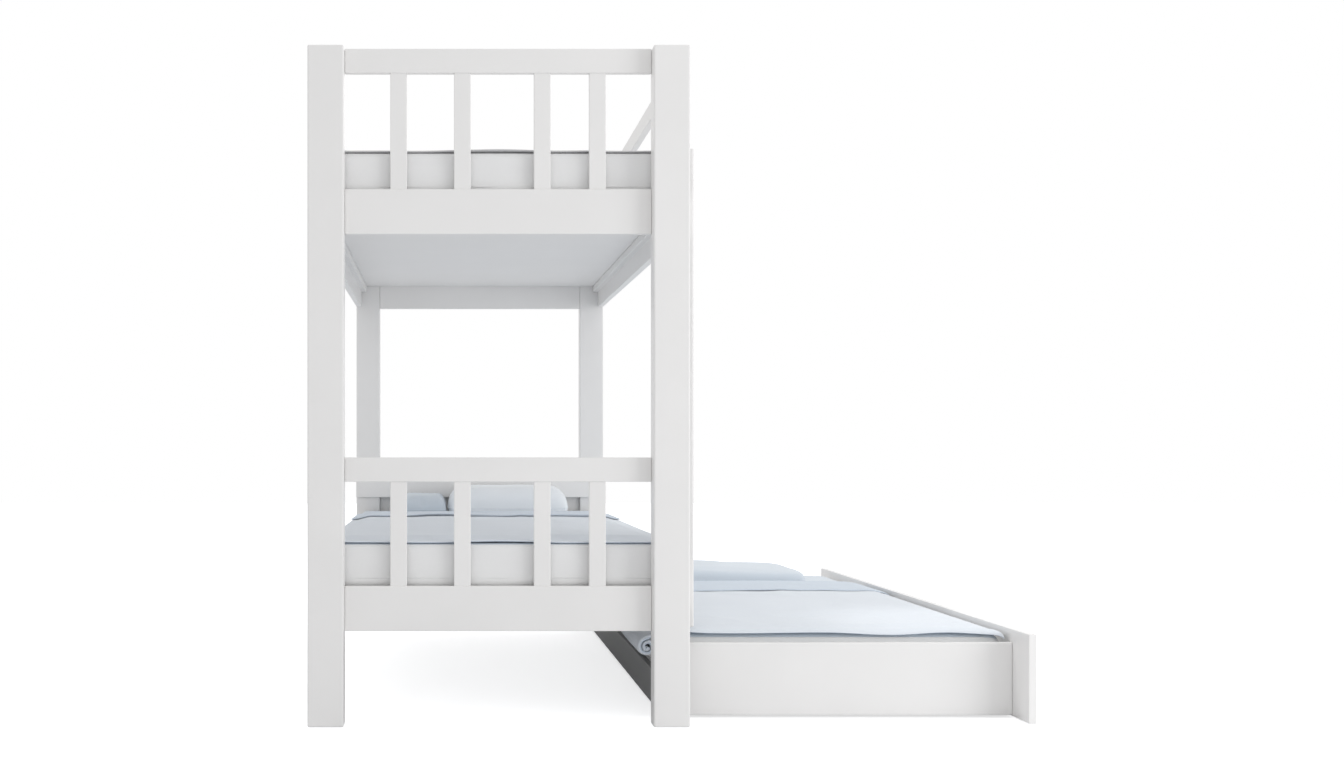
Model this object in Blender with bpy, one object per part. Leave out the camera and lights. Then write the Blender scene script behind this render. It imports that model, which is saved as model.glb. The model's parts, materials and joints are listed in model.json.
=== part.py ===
"""Bunk bed with a trundle: a painted frame, a ladder, a rolling trundle and the bedding.

All sizes are in metres. +X points to the right, the way the trundle comes out, +Y runs from the
foot end to the head end and +Z points up. Pieces are placed with the outer face of the left posts
at x = 0, the outer face of the foot posts at y = 0 and the floor at z = 0. At the end the whole is
moved so that the middle of its footprint, with the trundle pulled out, is the origin.
"""
import math

import bmesh
import bpy
from mathutils import Matrix, Vector

# Overall size over the posts
BED_WIDTH = 0.950
BED_LENGTH = 2.120
BED_HEIGHT = 1.695

# Gap left between two pieces that touch
JOINT_GAP = 0.0003

# Posts
POST_WIDTH = 0.090
POST_DEPTH = 0.060
POST_EDGE_RADIUS = 0.004

# Rails of the end panels; their inner faces are flush with the posts' inner faces
RAIL_THICKNESS = 0.020
END_RAIL_HEIGHT = 0.113
TOP_RAIL_HEIGHT = 0.061
BOARD_EDGE_RADIUS = 0.002
UPPER_PANEL_HEIGHT = 0.465
LOWER_PANEL_HEIGHT = 0.4355

# Slats of the end panels, with their centres along the clear span between the posts
SLAT_WIDTH = 0.042
SLAT_THICKNESS = 0.014
SLAT_CENTRE_SHARES = (0.1755, 0.3834, 0.6438, 0.8238)

# Depth to which the ends of slats, uprights and rungs are let into the boards that carry them
TENON = 0.008

# Side rails and the strips that carry the bed boards
SIDE_RAIL_HEIGHT = 0.113
SIDE_RAIL_RISE = 0.007
LEDGER_WIDTH = 0.020
LEDGER_HEIGHT = 0.0215
BED_BOARD_THICKNESS = 0.016
UPPER_BOARD_SEAT_RISE = 0.086
LOWER_BOARD_SEAT_RISE = 0.094

# Headboard of the lower bunk: a wide plank on the posts and a thin panel behind the end rail
HEADBOARD_PLANK_HEIGHT = 0.113
HEADBOARD_PLANK_GAP = 0.052
HEADBOARD_PANEL_THICKNESS = 0.012

# Guard rails of the upper bunk
RIGHT_GUARD_HEIGHT = 0.050
RIGHT_GUARD_DROP = 0.010
LEFT_GUARD_HEIGHT = 0.061
LEFT_GUARD_ABOVE_MATTRESS = 0.165
UPRIGHT_WIDTH = 0.042
UPRIGHT_INSET = 0.006
RIGHT_UPRIGHT_SHARES = (0.0, 0.48)
LEFT_UPRIGHT_SHARES = (0.33, 0.67)

# Ladder on the outer right side
STILE_THICKNESS = 0.025
STILE_WIDTH = 0.058
LADDER_POST_CLEARANCE = 0.039
LADDER_WIDTH = 0.400
LADDER_TOP_RISE = 0.017
LADDER_BOTTOM_CLEARANCE = 0.005
RUNG_COUNT = 4
RUNG_HEIGHT = 0.036
RUNG_THICKNESS = 0.020
FIRST_RUNG_RISE = 0.215
LAST_RUNG_DROP = 0.235
HOOK_STEEL = 0.002
HOOK_WIDTH = 0.032
HOOK_RISE = 0.070
HOOK_DROP = 0.015

# Mattresses
MATTRESS_THICKNESS = 0.108
TRUNDLE_MATTRESS_THICKNESS = 0.114
MATTRESS_SIDE_CLEARANCE = 0.005
MATTRESS_END_CLEARANCE = 0.005
MATTRESS_EDGE_RADIUS = 0.012
TRUNDLE_MATTRESS_EDGE_RADIUS = 0.028
MATTRESS_CROWN = 0.003
MATTRESS_SIDE_DRAW = 0.004

# Duvets and pillows
DUVET_THICKNESS = 0.018
DUVET_EDGE_RADIUS = 0.008
DUVET_END_INSET = 0.002
BUNK_DUVET_SIDE_INSET = 0.009
TRUNDLE_DUVET_SIDE_INSET = 0.010
DUVET_STAND_OFF = 0.006
DUVET_HEM_STEP = 0.004
DUVET_HEM_RAMP = 0.030
BUNK_DUVET_TURNED_BACK = 0.240
BUNK_DUVET_TO_PILLOW = 0.077
TRUNDLE_DUVET_TURNED_BACK = 0.320
TRUNDLE_DUVET_TO_PILLOW = 0.048
PILLOW_SEAM_RISE = 0.026
PILLOW_HEAD_CLEARANCE = 0.012
LOWER_PILLOW_LENGTH = 0.400
RIGHT_PILLOW_WIDTH = 0.445
RIGHT_PILLOW_HEIGHT = 0.104
RIGHT_PILLOW_FROM_LEFT = 0.352
LEFT_PILLOW_WIDTH = 0.255
LEFT_PILLOW_HEIGHT = 0.074
PILLOW_SPACING = 0.006
TRUNDLE_PILLOW_LENGTH = 0.420
TRUNDLE_PILLOW_WIDTH = 0.660
TRUNDLE_PILLOW_HEIGHT = 0.069
TRUNDLE_PILLOW_SIDE_CLEARANCE = 0.150

# Corner of the trundle's duvet that has slipped over the mattress's back edge
CORNER_SLIP = 0.092
CORNER_SLIP_LENGTH = 0.300
CORNER_SLIP_FADE = 0.360
CORNER_SLIP_REACH = 0.260
CORNER_FOLD_DEPTH = 0.006
CORNER_FOLD_PITCH = 0.240
CORNER_STOP_ALONG = 0.060
CORNER_STOP_ACROSS = 0.015
CORNER_STOPS_ALONG = 10
CORNER_STOPS_ACROSS = 7

# Trundle
PULL_OUT = 0.847
PANEL_GAP = 0.001
PANEL_THICKNESS = 0.0203
PANEL_HEIGHT = 0.2237
PANEL_GROUND_CLEARANCE = 0.005
PANEL_END_INSET = 0.021
TRUNDLE_END_CLEARANCE = 0.069
TRUNDLE_BACK_CLEARANCE = 0.0496
TRUNDLE_BOARD_THICKNESS = 0.018
TRUNDLE_BOARD_GROUND_CLEARANCE = 0.008
BASE_BOARD_THICKNESS = 0.015
END_BOARD_RISE = 0.0943
TRUNDLE_PASSING_CLEARANCE = 0.007
LEDGER_PASSING_CLEARANCE = 0.023

# Wheels and their forks
WHEEL_RADIUS = 0.030
WHEEL_WIDTH = 0.020
WHEEL_SHOULDER = 0.003
WHEEL_WEB_WIDTH = 0.008
WHEEL_RIM_DEPTH = 0.006
WHEEL_HUB_RADIUS = 0.010
WHEEL_HUB_WIDTH = 0.023
AXLE_RADIUS = 0.004
AXLE_HEAD_RADIUS = 0.0065
AXLE_HEAD_WIDTH = 0.002
AXLE_CLEARANCE = 0.0005
FORK_STEEL = 0.0025
FORK_SIDE_CLEARANCE = 0.001
FORK_LENGTH = 0.046
FORK_TIP_RADIUS = 0.010
FORK_PLATE_LENGTH = 0.060
WHEEL_TOP_CLEARANCE = 0.0225
WHEEL_INSET_X = 0.140
WHEEL_INSET_Y = 0.260

# Shares that shape the boards' edges and the soft pieces
EDGE_LIMIT_SHARE = 0.33
DUVET_EDGE_LIMIT_SHARE = 0.9
PILLOW_SEAM_LIMIT_SHARE = 0.33
PILLOW_DRAW_SHARE = 0.07
PILLOW_FULLNESS_SHARE = 0.30
PILLOW_UNDERSIDE_SHARE = 0.45

# Powers that keep the mattress flat in its middle and turn it in only near its edges
CROWN_POWER = 6
DRAW_POWER = 7

# Mesh fineness
PILLOW_COLUMNS = 12
PILLOW_ROWS = 10
MATTRESS_STOPS = (4, 6, 2)
DUVET_STOPS = (5, 6, 1)
EDGE_STOPS = 2
POST_BEVEL_SEGMENTS = 3
BOARD_BEVEL_SEGMENTS = 2
ROUND_STEPS = 24
SMALL_ROUND_STEPS = 12
TIP_STEPS = 6
MERGE_DISTANCE = 0.00001
SHARP_ANGLE = math.radians(35)
CUT_OVERRUN = 0.004

# Levels worked out from the trundle upwards
BASE_UNDERSIDE = 2 * WHEEL_RADIUS + WHEEL_TOP_CLEARANCE + FORK_STEEL
BASE_TOP = BASE_UNDERSIDE + BASE_BOARD_THICKNESS
TRUNDLE_MATTRESS_BOTTOM = BASE_TOP + JOINT_GAP
TRUNDLE_MATTRESS_TOP = TRUNDLE_MATTRESS_BOTTOM + TRUNDLE_MATTRESS_THICKNESS
TRUNDLE_DUVET_TOP = TRUNDLE_MATTRESS_TOP + JOINT_GAP + DUVET_THICKNESS
TRUNDLE_HEM_TOP = TRUNDLE_DUVET_TOP + DUVET_HEM_STEP
TRUNDLE_PILLOW_TOP = TRUNDLE_MATTRESS_TOP + JOINT_GAP + TRUNDLE_PILLOW_HEIGHT
TRUNDLE_STACK_TOP = max(TRUNDLE_PILLOW_TOP, TRUNDLE_HEM_TOP)
PANEL_TOP = PANEL_GROUND_CLEARANCE + PANEL_HEIGHT

# Levels of the lower bunk
LOWER_LEDGER_BOTTOM = TRUNDLE_STACK_TOP + LEDGER_PASSING_CLEARANCE
LOWER_BOARD_BOTTOM = LOWER_LEDGER_BOTTOM + LEDGER_HEIGHT + JOINT_GAP
LOWER_RAIL_BOTTOM = LOWER_BOARD_BOTTOM - LOWER_BOARD_SEAT_RISE
LOWER_FRONT_RAIL_BOTTOM = TRUNDLE_STACK_TOP + TRUNDLE_PASSING_CLEARANCE
LOWER_MATTRESS_BOTTOM = LOWER_BOARD_BOTTOM + BED_BOARD_THICKNESS + JOINT_GAP
LOWER_MATTRESS_TOP = LOWER_MATTRESS_BOTTOM + MATTRESS_THICKNESS
LOWER_PANEL_TOP = LOWER_RAIL_BOTTOM + LOWER_PANEL_HEIGHT

# Levels of the upper bunk
UPPER_RAIL_BOTTOM = BED_HEIGHT - UPPER_PANEL_HEIGHT
UPPER_BOARD_BOTTOM = UPPER_RAIL_BOTTOM + UPPER_BOARD_SEAT_RISE
UPPER_MATTRESS_BOTTOM = UPPER_BOARD_BOTTOM + BED_BOARD_THICKNESS + JOINT_GAP
UPPER_MATTRESS_TOP = UPPER_MATTRESS_BOTTOM + MATTRESS_THICKNESS

# Places across and along the bed
SPAN_LEFT = POST_WIDTH + JOINT_GAP
SPAN_RIGHT = BED_WIDTH - POST_WIDTH - JOINT_GAP
SIDE_FOOT = POST_DEPTH + JOINT_GAP
SIDE_HEAD = BED_LENGTH - POST_DEPTH - JOINT_GAP
INNER_LEFT = RAIL_THICKNESS + JOINT_GAP
INNER_RIGHT = BED_WIDTH - RAIL_THICKNESS - JOINT_GAP

# Places on the trundle as it stands pulled out
TRUNDLE_PANEL_INNER = BED_WIDTH + PANEL_GAP + PULL_OUT
TRUNDLE_BACK_OUTER = TRUNDLE_BACK_CLEARANCE + PULL_OUT
TRUNDLE_BACK_INNER = TRUNDLE_BACK_OUTER + TRUNDLE_BOARD_THICKNESS
TRUNDLE_FOOT_OUTER = POST_DEPTH + TRUNDLE_END_CLEARANCE
TRUNDLE_HEAD_OUTER = BED_LENGTH - TRUNDLE_FOOT_OUTER
TRUNDLE_FOOT_INNER = TRUNDLE_FOOT_OUTER + TRUNDLE_BOARD_THICKNESS
TRUNDLE_HEAD_INNER = TRUNDLE_HEAD_OUTER - TRUNDLE_BOARD_THICKNESS


def clear_scene():
    for existing in list(bpy.data.objects):
        bpy.data.objects.remove(existing, do_unlink=True)


def make_material(name, color, roughness, metallic):
    """A Principled BSDF material of one colour."""
    material = bpy.data.materials.new(name)
    material.use_nodes = True
    shader = material.node_tree.nodes["Principled BSDF"]
    shader.inputs["Base Color"].default_value = (*color, 1.0)
    shader.inputs["Roughness"].default_value = roughness
    shader.inputs["Metallic"].default_value = metallic
    material.diffuse_color = (*color, 1.0)
    return material


def add_object(name, bm, place, material):
    """Store a bmesh whose points are relative to place as a named object standing there."""
    bmesh.ops.recalc_face_normals(bm, faces=bm.faces)
    mesh = bpy.data.meshes.new(name)
    bm.to_mesh(mesh)
    bm.free()
    mesh.materials.append(material)
    made = bpy.data.objects.new(name, mesh)
    made.location = place
    bpy.context.collection.objects.link(made)
    return made


def add_bevel(target, width, segments):
    bevel = target.modifiers.new("rounded_edges", "BEVEL")
    bevel.width = width
    bevel.segments = segments
    bevel.limit_method = "ANGLE"
    bevel.angle_limit = SHARP_ANGLE


def shade_round(target):
    target.data.shade_smooth()
    target.data.set_sharp_from_angle(angle=SHARP_ANGLE)


def add_box(bm, low, high):
    """Add a box between two corners to a bmesh and return its vertices."""
    low = Vector(low)
    high = Vector(high)
    size = high - low
    placing = Matrix.Translation((low + high) / 2) @ Matrix.Diagonal((*size, 1.0))
    return bmesh.ops.create_cube(bm, size=1.0, matrix=placing)["verts"]


def board(name, low, high, material, radius=BOARD_EDGE_RADIUS, segments=BOARD_BEVEL_SEGMENTS):
    """A straight board between two corners, with rounded edges."""
    middle = (Vector(low) + Vector(high)) / 2
    bm = bmesh.new()
    add_box(bm, Vector(low) - middle, Vector(high) - middle)
    made = add_object(name, bm, middle, material)
    thinnest = min(Vector(high) - Vector(low))
    add_bevel(made, min(radius, EDGE_LIMIT_SHARE * thinnest), segments)
    return made


def extrude_face(bm, face, along):
    """Draw a flat outline out into a closed bar."""
    grown = bmesh.ops.extrude_face_region(bm, geom=[face], use_keep_orig=True)
    moved = [item for item in grown["geom"] if isinstance(item, bmesh.types.BMVert)]
    bmesh.ops.translate(bm, vec=along, verts=moved)


def helper_boxes(name, corners, margin=0.0):
    """A hidden set of boxes, each grown by margin on every side, for a Boolean to use."""
    grow = Vector((margin, margin, margin))
    bm = bmesh.new()
    for low, high in corners:
        add_box(bm, Vector(low) - grow, Vector(high) + grow)
    return cutter(name, bm)


def house_ends(name, corners, carriers):
    """Cut pockets in the carrying boards for the ends of slats, uprights or rungs."""
    pockets = helper_boxes(name, corners, JOINT_GAP)
    for carrier in carriers:
        add_boolean(carrier, pockets, "DIFFERENCE")


def turned(bm, profile, steps):
    """Spin an outline of (radius, distance along Y) points about Y; it may start and end on Y."""
    points = [bm.verts.new((radius, along, 0)) for radius, along in profile]
    edges = [bm.edges.new(pair) for pair in zip(points, points[1:])]
    if profile[0][0] > 0:
        edges.append(bm.edges.new((points[-1], points[0])))
    bmesh.ops.spin(
        bm,
        geom=points + edges,
        cent=(0, 0, 0),
        axis=(0, 1, 0),
        angle=math.tau,
        steps=steps,
        use_merge=True,
    )
    bmesh.ops.remove_doubles(bm, verts=bm.verts, dist=MERGE_DISTANCE)


def cutter(name, bm):
    """A hidden object that other pieces use for a Boolean."""
    made = bpy.data.objects.new(name, bpy.data.meshes.new(name))
    bmesh.ops.recalc_face_normals(bm, faces=bm.faces)
    bm.to_mesh(made.data)
    bm.free()
    made.hide_render = True
    made.display_type = "WIRE"
    bpy.context.collection.objects.link(made)
    return made


def add_boolean(target, tool, operation):
    change = target.modifiers.new(tool.name, "BOOLEAN")
    change.operation = operation
    change.object = tool


def rounded_stops(half, radius, flat_count):
    """Places along one axis of a rounded box: close together on its edges, even in between."""
    reach = half - radius
    turns = [math.pi / 4 * i / EDGE_STOPS for i in range(EDGE_STOPS + 1)]
    arc = [reach + radius * math.tan(turn) for turn in turns]
    flat = [reach * (2 * i / flat_count - 1) for i in range(1, flat_count)]
    return [-place for place in reversed(arc)] + flat + arc


def grid_shell(bm, stops, place_point):
    """The closed skin of a box grid, each grid point moved by place_point."""
    counts = [len(line) for line in stops]
    made = {}

    def corner(i, j, k):
        key = (i, j, k)
        if key not in made:
            grid_place = Vector((stops[0][i], stops[1][j], stops[2][k]))
            made[key] = bm.verts.new(place_point(grid_place))
        return made[key]

    def patch(axis, layer):
        across = [other for other in range(3) if other != axis]
        for a in range(counts[across[0]] - 1):
            for b in range(counts[across[1]] - 1):
                ring = []
                for step_a, step_b in ((0, 0), (1, 0), (1, 1), (0, 1)):
                    index = [0, 0, 0]
                    index[axis] = layer
                    index[across[0]] = a + step_a
                    index[across[1]] = b + step_b
                    ring.append(corner(*index))
                bm.faces.new(ring)

    for axis in range(3):
        patch(axis, 0)
        patch(axis, counts[axis] - 1)


def round_off(grid_place, halves, radius):
    """Move a point of a box's skin onto the same box with rounded edges."""
    core = Vector([max(-(h - radius), min(h - radius, c)) for h, c in zip(halves, grid_place)])
    outward = grid_place - core
    if outward.length == 0:
        return grid_place.copy()
    return core + outward.normalized() * radius


def mattress(name, low, high, edge_radius, material):
    """A foam mattress: rounded edges, a slightly crowned top and drawn-in sides."""
    low = Vector(low)
    high = Vector(high)
    middle = (low + high) / 2
    halves = (high - low) / 2
    radius = min(edge_radius, halves.z / 2)

    def place_point(grid_place):
        place = round_off(grid_place, halves, radius)
        share_x, share_y, share_z = (place[i] / halves[i] for i in range(3))
        inward = MATTRESS_SIDE_DRAW * (1 - share_z * share_z)
        place.x -= inward * share_x ** DRAW_POWER
        place.y -= inward * share_y ** DRAW_POWER
        if share_z > 0:
            dome = (1 - share_x ** CROWN_POWER) * (1 - share_y ** CROWN_POWER)
            place.z += MATTRESS_CROWN * (dome - 1) * share_z
        return place

    stops = [rounded_stops(half, radius, count) for half, count in zip(halves, MATTRESS_STOPS)]
    bm = bmesh.new()
    grid_shell(bm, stops, place_point)
    made = add_object(name, bm, middle, material)
    shade_round(made)
    return made


def lie_over(left, right, top, radius):
    """A function that bends a flat quilt down round a mattress's rounded long edges."""

    def lay(place):
        for edge, side in ((left + radius, -1), (right - radius, 1)):
            beyond = (place.x - edge) * side
            if beyond > -radius:
                angle = min(max(beyond, 0) / radius, math.pi / 2)
                stand_off = DUVET_STAND_OFF * min(1.0, (beyond + radius) / (2 * radius))
                reach = radius + place.z - top + stand_off
                fall = max(0.0, beyond - radius * math.pi / 2)
                return Vector((
                    edge + side * (min(beyond, 0) + reach * math.sin(angle)),
                    place.y,
                    top - radius + reach * math.cos(angle) - fall,
                ))
        return place

    return lay


def slip_corner(place, corner):
    """Draw a quilt's points outward near its foot corner on the left, so that it hangs there."""
    beyond = min(1.0, max(0.0, (place.y - corner.y - CORNER_SLIP_LENGTH) / CORNER_SLIP_FADE))
    along = 1 - beyond * beyond * (3 - 2 * beyond)
    across = max(0.0, 1 - (place.x - corner.x) / CORNER_SLIP_REACH)
    return Vector((place.x - CORNER_SLIP * along * across, place.y, place.z))


def fold_corner(place, mattress_left, corner):
    """Swell what hangs beside the mattress outward in soft folds."""
    hanging = min(1.0, max(0.0, (corner.z - place.z) / CORNER_SLIP))
    if place.x < mattress_left:
        wave = math.sin(math.pi * (place.y - corner.y) / CORNER_FOLD_PITCH) ** 2
        place.x -= CORNER_FOLD_DEPTH * hanging * wave
    return place


def duvet(name, low, high, turned_back, lay, material, extra_stops=((), ())):
    """A thin quilt with soft edges, thicker where its head edge is turned back, laid by lay.

    Extra stops are distances from its left edge and from its foot edge where its grid is finer.
    """
    low = Vector(low)
    high = Vector(high)
    middle = (low + high) / 2
    halves = (high - low) / 2
    radius = min(DUVET_EDGE_RADIUS, DUVET_EDGE_LIMIT_SHARE * halves.z)
    hem = halves.y - turned_back

    def place_point(grid_place):
        place = round_off(grid_place, halves, radius)
        before_hem = min(1.0, max(0.0, (hem - place.y) / DUVET_HEM_RAMP))
        if place.z > 0:
            place.z -= DUVET_HEM_STEP * before_hem * place.z / halves.z
        return lay(place + middle) - middle

    stops = [rounded_stops(half, radius, count) for half, count in zip(halves, DUVET_STOPS)]
    along = [stop for stop in stops[1] if abs(stop - hem) > 2 * DUVET_HEM_RAMP]
    stops[1] = along + [hem - DUVET_HEM_RAMP, hem, hem + DUVET_HEM_RAMP]
    for axis, extras in enumerate(extra_stops):
        stops[axis] = sorted(stops[axis] + [extra - halves[axis] for extra in extras])
    bm = bmesh.new()
    grid_shell(bm, stops, place_point)
    made = add_object(name, bm, middle, material)
    shade_round(made)
    return made


def pillow(name, low, high, material):
    """A filled pillow lying flat: domed top, sides drawn in between its corners, soft seam."""
    low = Vector(low)
    high = Vector(high)
    middle = (low + high) / 2
    middle.z = low.z
    halves = (high - low) / 2
    height = high.z - low.z
    seam = min(PILLOW_SEAM_RISE, PILLOW_SEAM_LIMIT_SHARE * height)
    columns = PILLOW_COLUMNS
    rows = PILLOW_ROWS

    def seam_place(u, v):
        x = halves.x * u * (1 - PILLOW_DRAW_SHARE * (1 - v * v))
        y = halves.y * v * (1 - PILLOW_DRAW_SHARE * (1 - u * u))
        return x, y

    def height_at(u, v, upper):
        swell = ((1 - u * u) * (1 - v * v)) ** PILLOW_FULLNESS_SHARE
        if upper:
            return seam + (height - seam) * swell
        return seam * (1 - min(1.0, swell / PILLOW_UNDERSIDE_SHARE))

    bm = bmesh.new()
    sheets = {}
    for upper in (True, False):
        for i in range(columns + 1):
            for j in range(rows + 1):
                u = -math.cos(math.pi * i / columns)
                v = -math.cos(math.pi * j / rows)
                on_seam = i in (0, columns) or j in (0, rows)
                if on_seam and not upper:
                    sheets[(upper, i, j)] = sheets[(True, i, j)]
                    continue
                x, y = seam_place(u, v)
                sheets[(upper, i, j)] = bm.verts.new((x, y, height_at(u, v, upper)))
    for upper in (True, False):
        for i in range(columns):
            for j in range(rows):
                ring = [sheets[(upper, i + a, j + b)] for a, b in ((0, 0), (1, 0), (1, 1), (0, 1))]
                bm.faces.new(ring)
    made = add_object(name, bm, middle, material)
    shade_round(made)
    return made


def build_posts(paint):
    places = {
        "post_foot_left": (0, 0),
        "post_foot_right": (BED_WIDTH - POST_WIDTH, 0),
        "post_head_left": (0, BED_LENGTH - POST_DEPTH),
        "post_head_right": (BED_WIDTH - POST_WIDTH, BED_LENGTH - POST_DEPTH),
    }
    for name, (x, y) in places.items():
        high = (x + POST_WIDTH, y + POST_DEPTH, BED_HEIGHT)
        board(name, (x, y, 0), high, paint, POST_EDGE_RADIUS, POST_BEVEL_SEGMENTS)


def end_depth(at_head):
    """The outer and inner y of an end panel's rails, in rising order."""
    if at_head:
        return BED_LENGTH - POST_DEPTH, BED_LENGTH - POST_DEPTH + RAIL_THICKNESS
    return POST_DEPTH - RAIL_THICKNESS, POST_DEPTH


def end_rail(name, bottom, height, at_head, paint):
    near, far = end_depth(at_head)
    return board(name, (SPAN_LEFT, near, bottom), (SPAN_RIGHT, far, bottom + height), paint)


def slat_corners(bottom, top, at_head):
    """The two corners of each slat of an end panel, left to right, ends let into both rails."""
    near, far = end_depth(at_head)
    middle = (near + far) / 2
    span = BED_WIDTH - 2 * POST_WIDTH
    corners = []
    for share in SLAT_CENTRE_SHARES:
        centre = POST_WIDTH + share * span
        low = (centre - SLAT_WIDTH / 2, middle - SLAT_THICKNESS / 2, bottom - TENON)
        high = (centre + SLAT_WIDTH / 2, middle + SLAT_THICKNESS / 2, top + TENON)
        corners.append((low, high))
    return corners


def foot_panel(bunk, rail_bottom, panel_top, paint):
    """A bunk's foot end: a wide rail, a narrow top rail and four slats housed in both."""
    low_rail = end_rail(f"{bunk}_foot_end_rail", rail_bottom, END_RAIL_HEIGHT, False, paint)
    top_rail_bottom = panel_top - TOP_RAIL_HEIGHT
    top_rail = end_rail(f"{bunk}_foot_top_rail", top_rail_bottom, TOP_RAIL_HEIGHT, False, paint)
    corners = slat_corners(rail_bottom + END_RAIL_HEIGHT, top_rail_bottom, False)
    for number, (low, high) in enumerate(corners, 1):
        board(f"{bunk}_foot_slat_{number}", low, high, paint)
    house_ends(f"{bunk}_foot_pockets", corners, (low_rail, top_rail))


def upper_head_panel(paint):
    """The upper bunk's head end, glued up into one panel like its foot end."""
    panel = end_rail("upper_head_panel", UPPER_RAIL_BOTTOM, END_RAIL_HEIGHT, True, paint)
    near, far = end_depth(True)
    top_rail_bottom = BED_HEIGHT - TOP_RAIL_HEIGHT
    corners = slat_corners(UPPER_RAIL_BOTTOM + END_RAIL_HEIGHT, top_rail_bottom, True)
    add_boolean(panel, helper_boxes("upper_head_slats", corners), "UNION")
    top_rail = [((SPAN_LEFT, near, top_rail_bottom), (SPAN_RIGHT, far, BED_HEIGHT))]
    top_helper = helper_boxes("upper_head_top_rail", top_rail)
    add_bevel(top_helper, BOARD_EDGE_RADIUS, BOARD_BEVEL_SEGMENTS)
    add_boolean(panel, top_helper, "UNION")


def build_end_panels(paint):
    foot_panel("upper", UPPER_RAIL_BOTTOM, BED_HEIGHT, paint)
    foot_panel("lower", LOWER_RAIL_BOTTOM, LOWER_PANEL_TOP, paint)
    upper_head_panel(paint)
    end_rail("lower_head_end_rail", LOWER_RAIL_BOTTOM, END_RAIL_HEIGHT, True, paint)


def build_headboard(paint):
    """The lower bunk's head end: a plank across the posts and a panel on the end rail's back."""
    inner_face = BED_LENGTH - POST_DEPTH
    plank_bottom = LOWER_MATTRESS_TOP + HEADBOARD_PLANK_GAP
    plank_top = plank_bottom + HEADBOARD_PLANK_HEIGHT
    plank_low = (0, inner_face - JOINT_GAP - RAIL_THICKNESS, plank_bottom)
    board("headboard_plank", plank_low, (BED_WIDTH, inner_face - JOINT_GAP, plank_top), paint)
    panel_front = inner_face + RAIL_THICKNESS + JOINT_GAP
    panel_back = panel_front + HEADBOARD_PANEL_THICKNESS
    panel_low = (SPAN_LEFT, panel_front, LOWER_RAIL_BOTTOM)
    board("headboard_panel", panel_low, (SPAN_RIGHT, panel_back, plank_top), paint)


def side_rail(name, at_left, bottom, board_bottom, paint):
    """A side rail with the strip glued along its inner face that carries the bed board."""
    strip_top = board_bottom - JOINT_GAP
    strip_bottom = strip_top - LEDGER_HEIGHT
    top = bottom + SIDE_RAIL_HEIGHT
    inner = RAIL_THICKNESS
    reach = RAIL_THICKNESS + LEDGER_WIDTH
    outline = [
        (0, bottom),
        (inner, bottom),
        (inner, strip_bottom),
        (reach, strip_bottom),
        (reach, strip_top),
        (inner, strip_top),
        (inner, top),
        (0, top),
    ]
    if not at_left:
        outline = [(BED_WIDTH - x, z) for x, z in outline]
    bm = bmesh.new()
    end = bm.faces.new([bm.verts.new((x, SIDE_FOOT, z)) for x, z in outline])
    extrude_face(bm, end, (0, SIDE_HEAD - SIDE_FOOT, 0))
    made = add_object(name, bm, (0, 0, 0), paint)
    add_bevel(made, BOARD_EDGE_RADIUS, BOARD_BEVEL_SEGMENTS)
    return made


def build_side_rails(paint):
    upper = UPPER_RAIL_BOTTOM + SIDE_RAIL_RISE
    lower = LOWER_RAIL_BOTTOM + SIDE_RAIL_RISE
    side_rail("upper_side_rail_left", True, upper, UPPER_BOARD_BOTTOM, paint)
    side_rail("upper_side_rail_right", False, upper, UPPER_BOARD_BOTTOM, paint)
    side_rail("lower_side_rail_left", True, lower, LOWER_BOARD_BOTTOM, paint)
    side_rail("lower_side_rail_right", False, LOWER_FRONT_RAIL_BOTTOM, LOWER_BOARD_BOTTOM, paint)


def build_bed_boards(paint):
    """A board for each bunk, lying on the strips of its side rails."""
    for bunk, bottom in (("upper", UPPER_BOARD_BOTTOM), ("lower", LOWER_BOARD_BOTTOM)):
        low = (INNER_LEFT, SIDE_FOOT, bottom)
        high = (INNER_RIGHT, SIDE_HEAD, bottom + BED_BOARD_THICKNESS)
        board(f"{bunk}_bed_board", low, high, paint)


def ladder_far_edge():
    """The y at which the ladder ends and the right guard rail begins."""
    return POST_DEPTH + LADDER_POST_CLEARANCE + LADDER_WIDTH


def upright_corners(left, foot, bottom, shares):
    """The two corners of each guard upright, its ends let into the side rail and the guard."""
    side_rail_top = UPPER_RAIL_BOTTOM + SIDE_RAIL_RISE + SIDE_RAIL_HEIGHT
    middle = left + RAIL_THICKNESS / 2
    run = SIDE_HEAD - foot - UPRIGHT_WIDTH
    corners = []
    for share in shares:
        start = foot + share * run
        low = (middle - SLAT_THICKNESS / 2, start, side_rail_top - TENON)
        high = (middle + SLAT_THICKNESS / 2, start + UPRIGHT_WIDTH, bottom + TENON)
        corners.append((low, high))
    return corners


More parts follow.
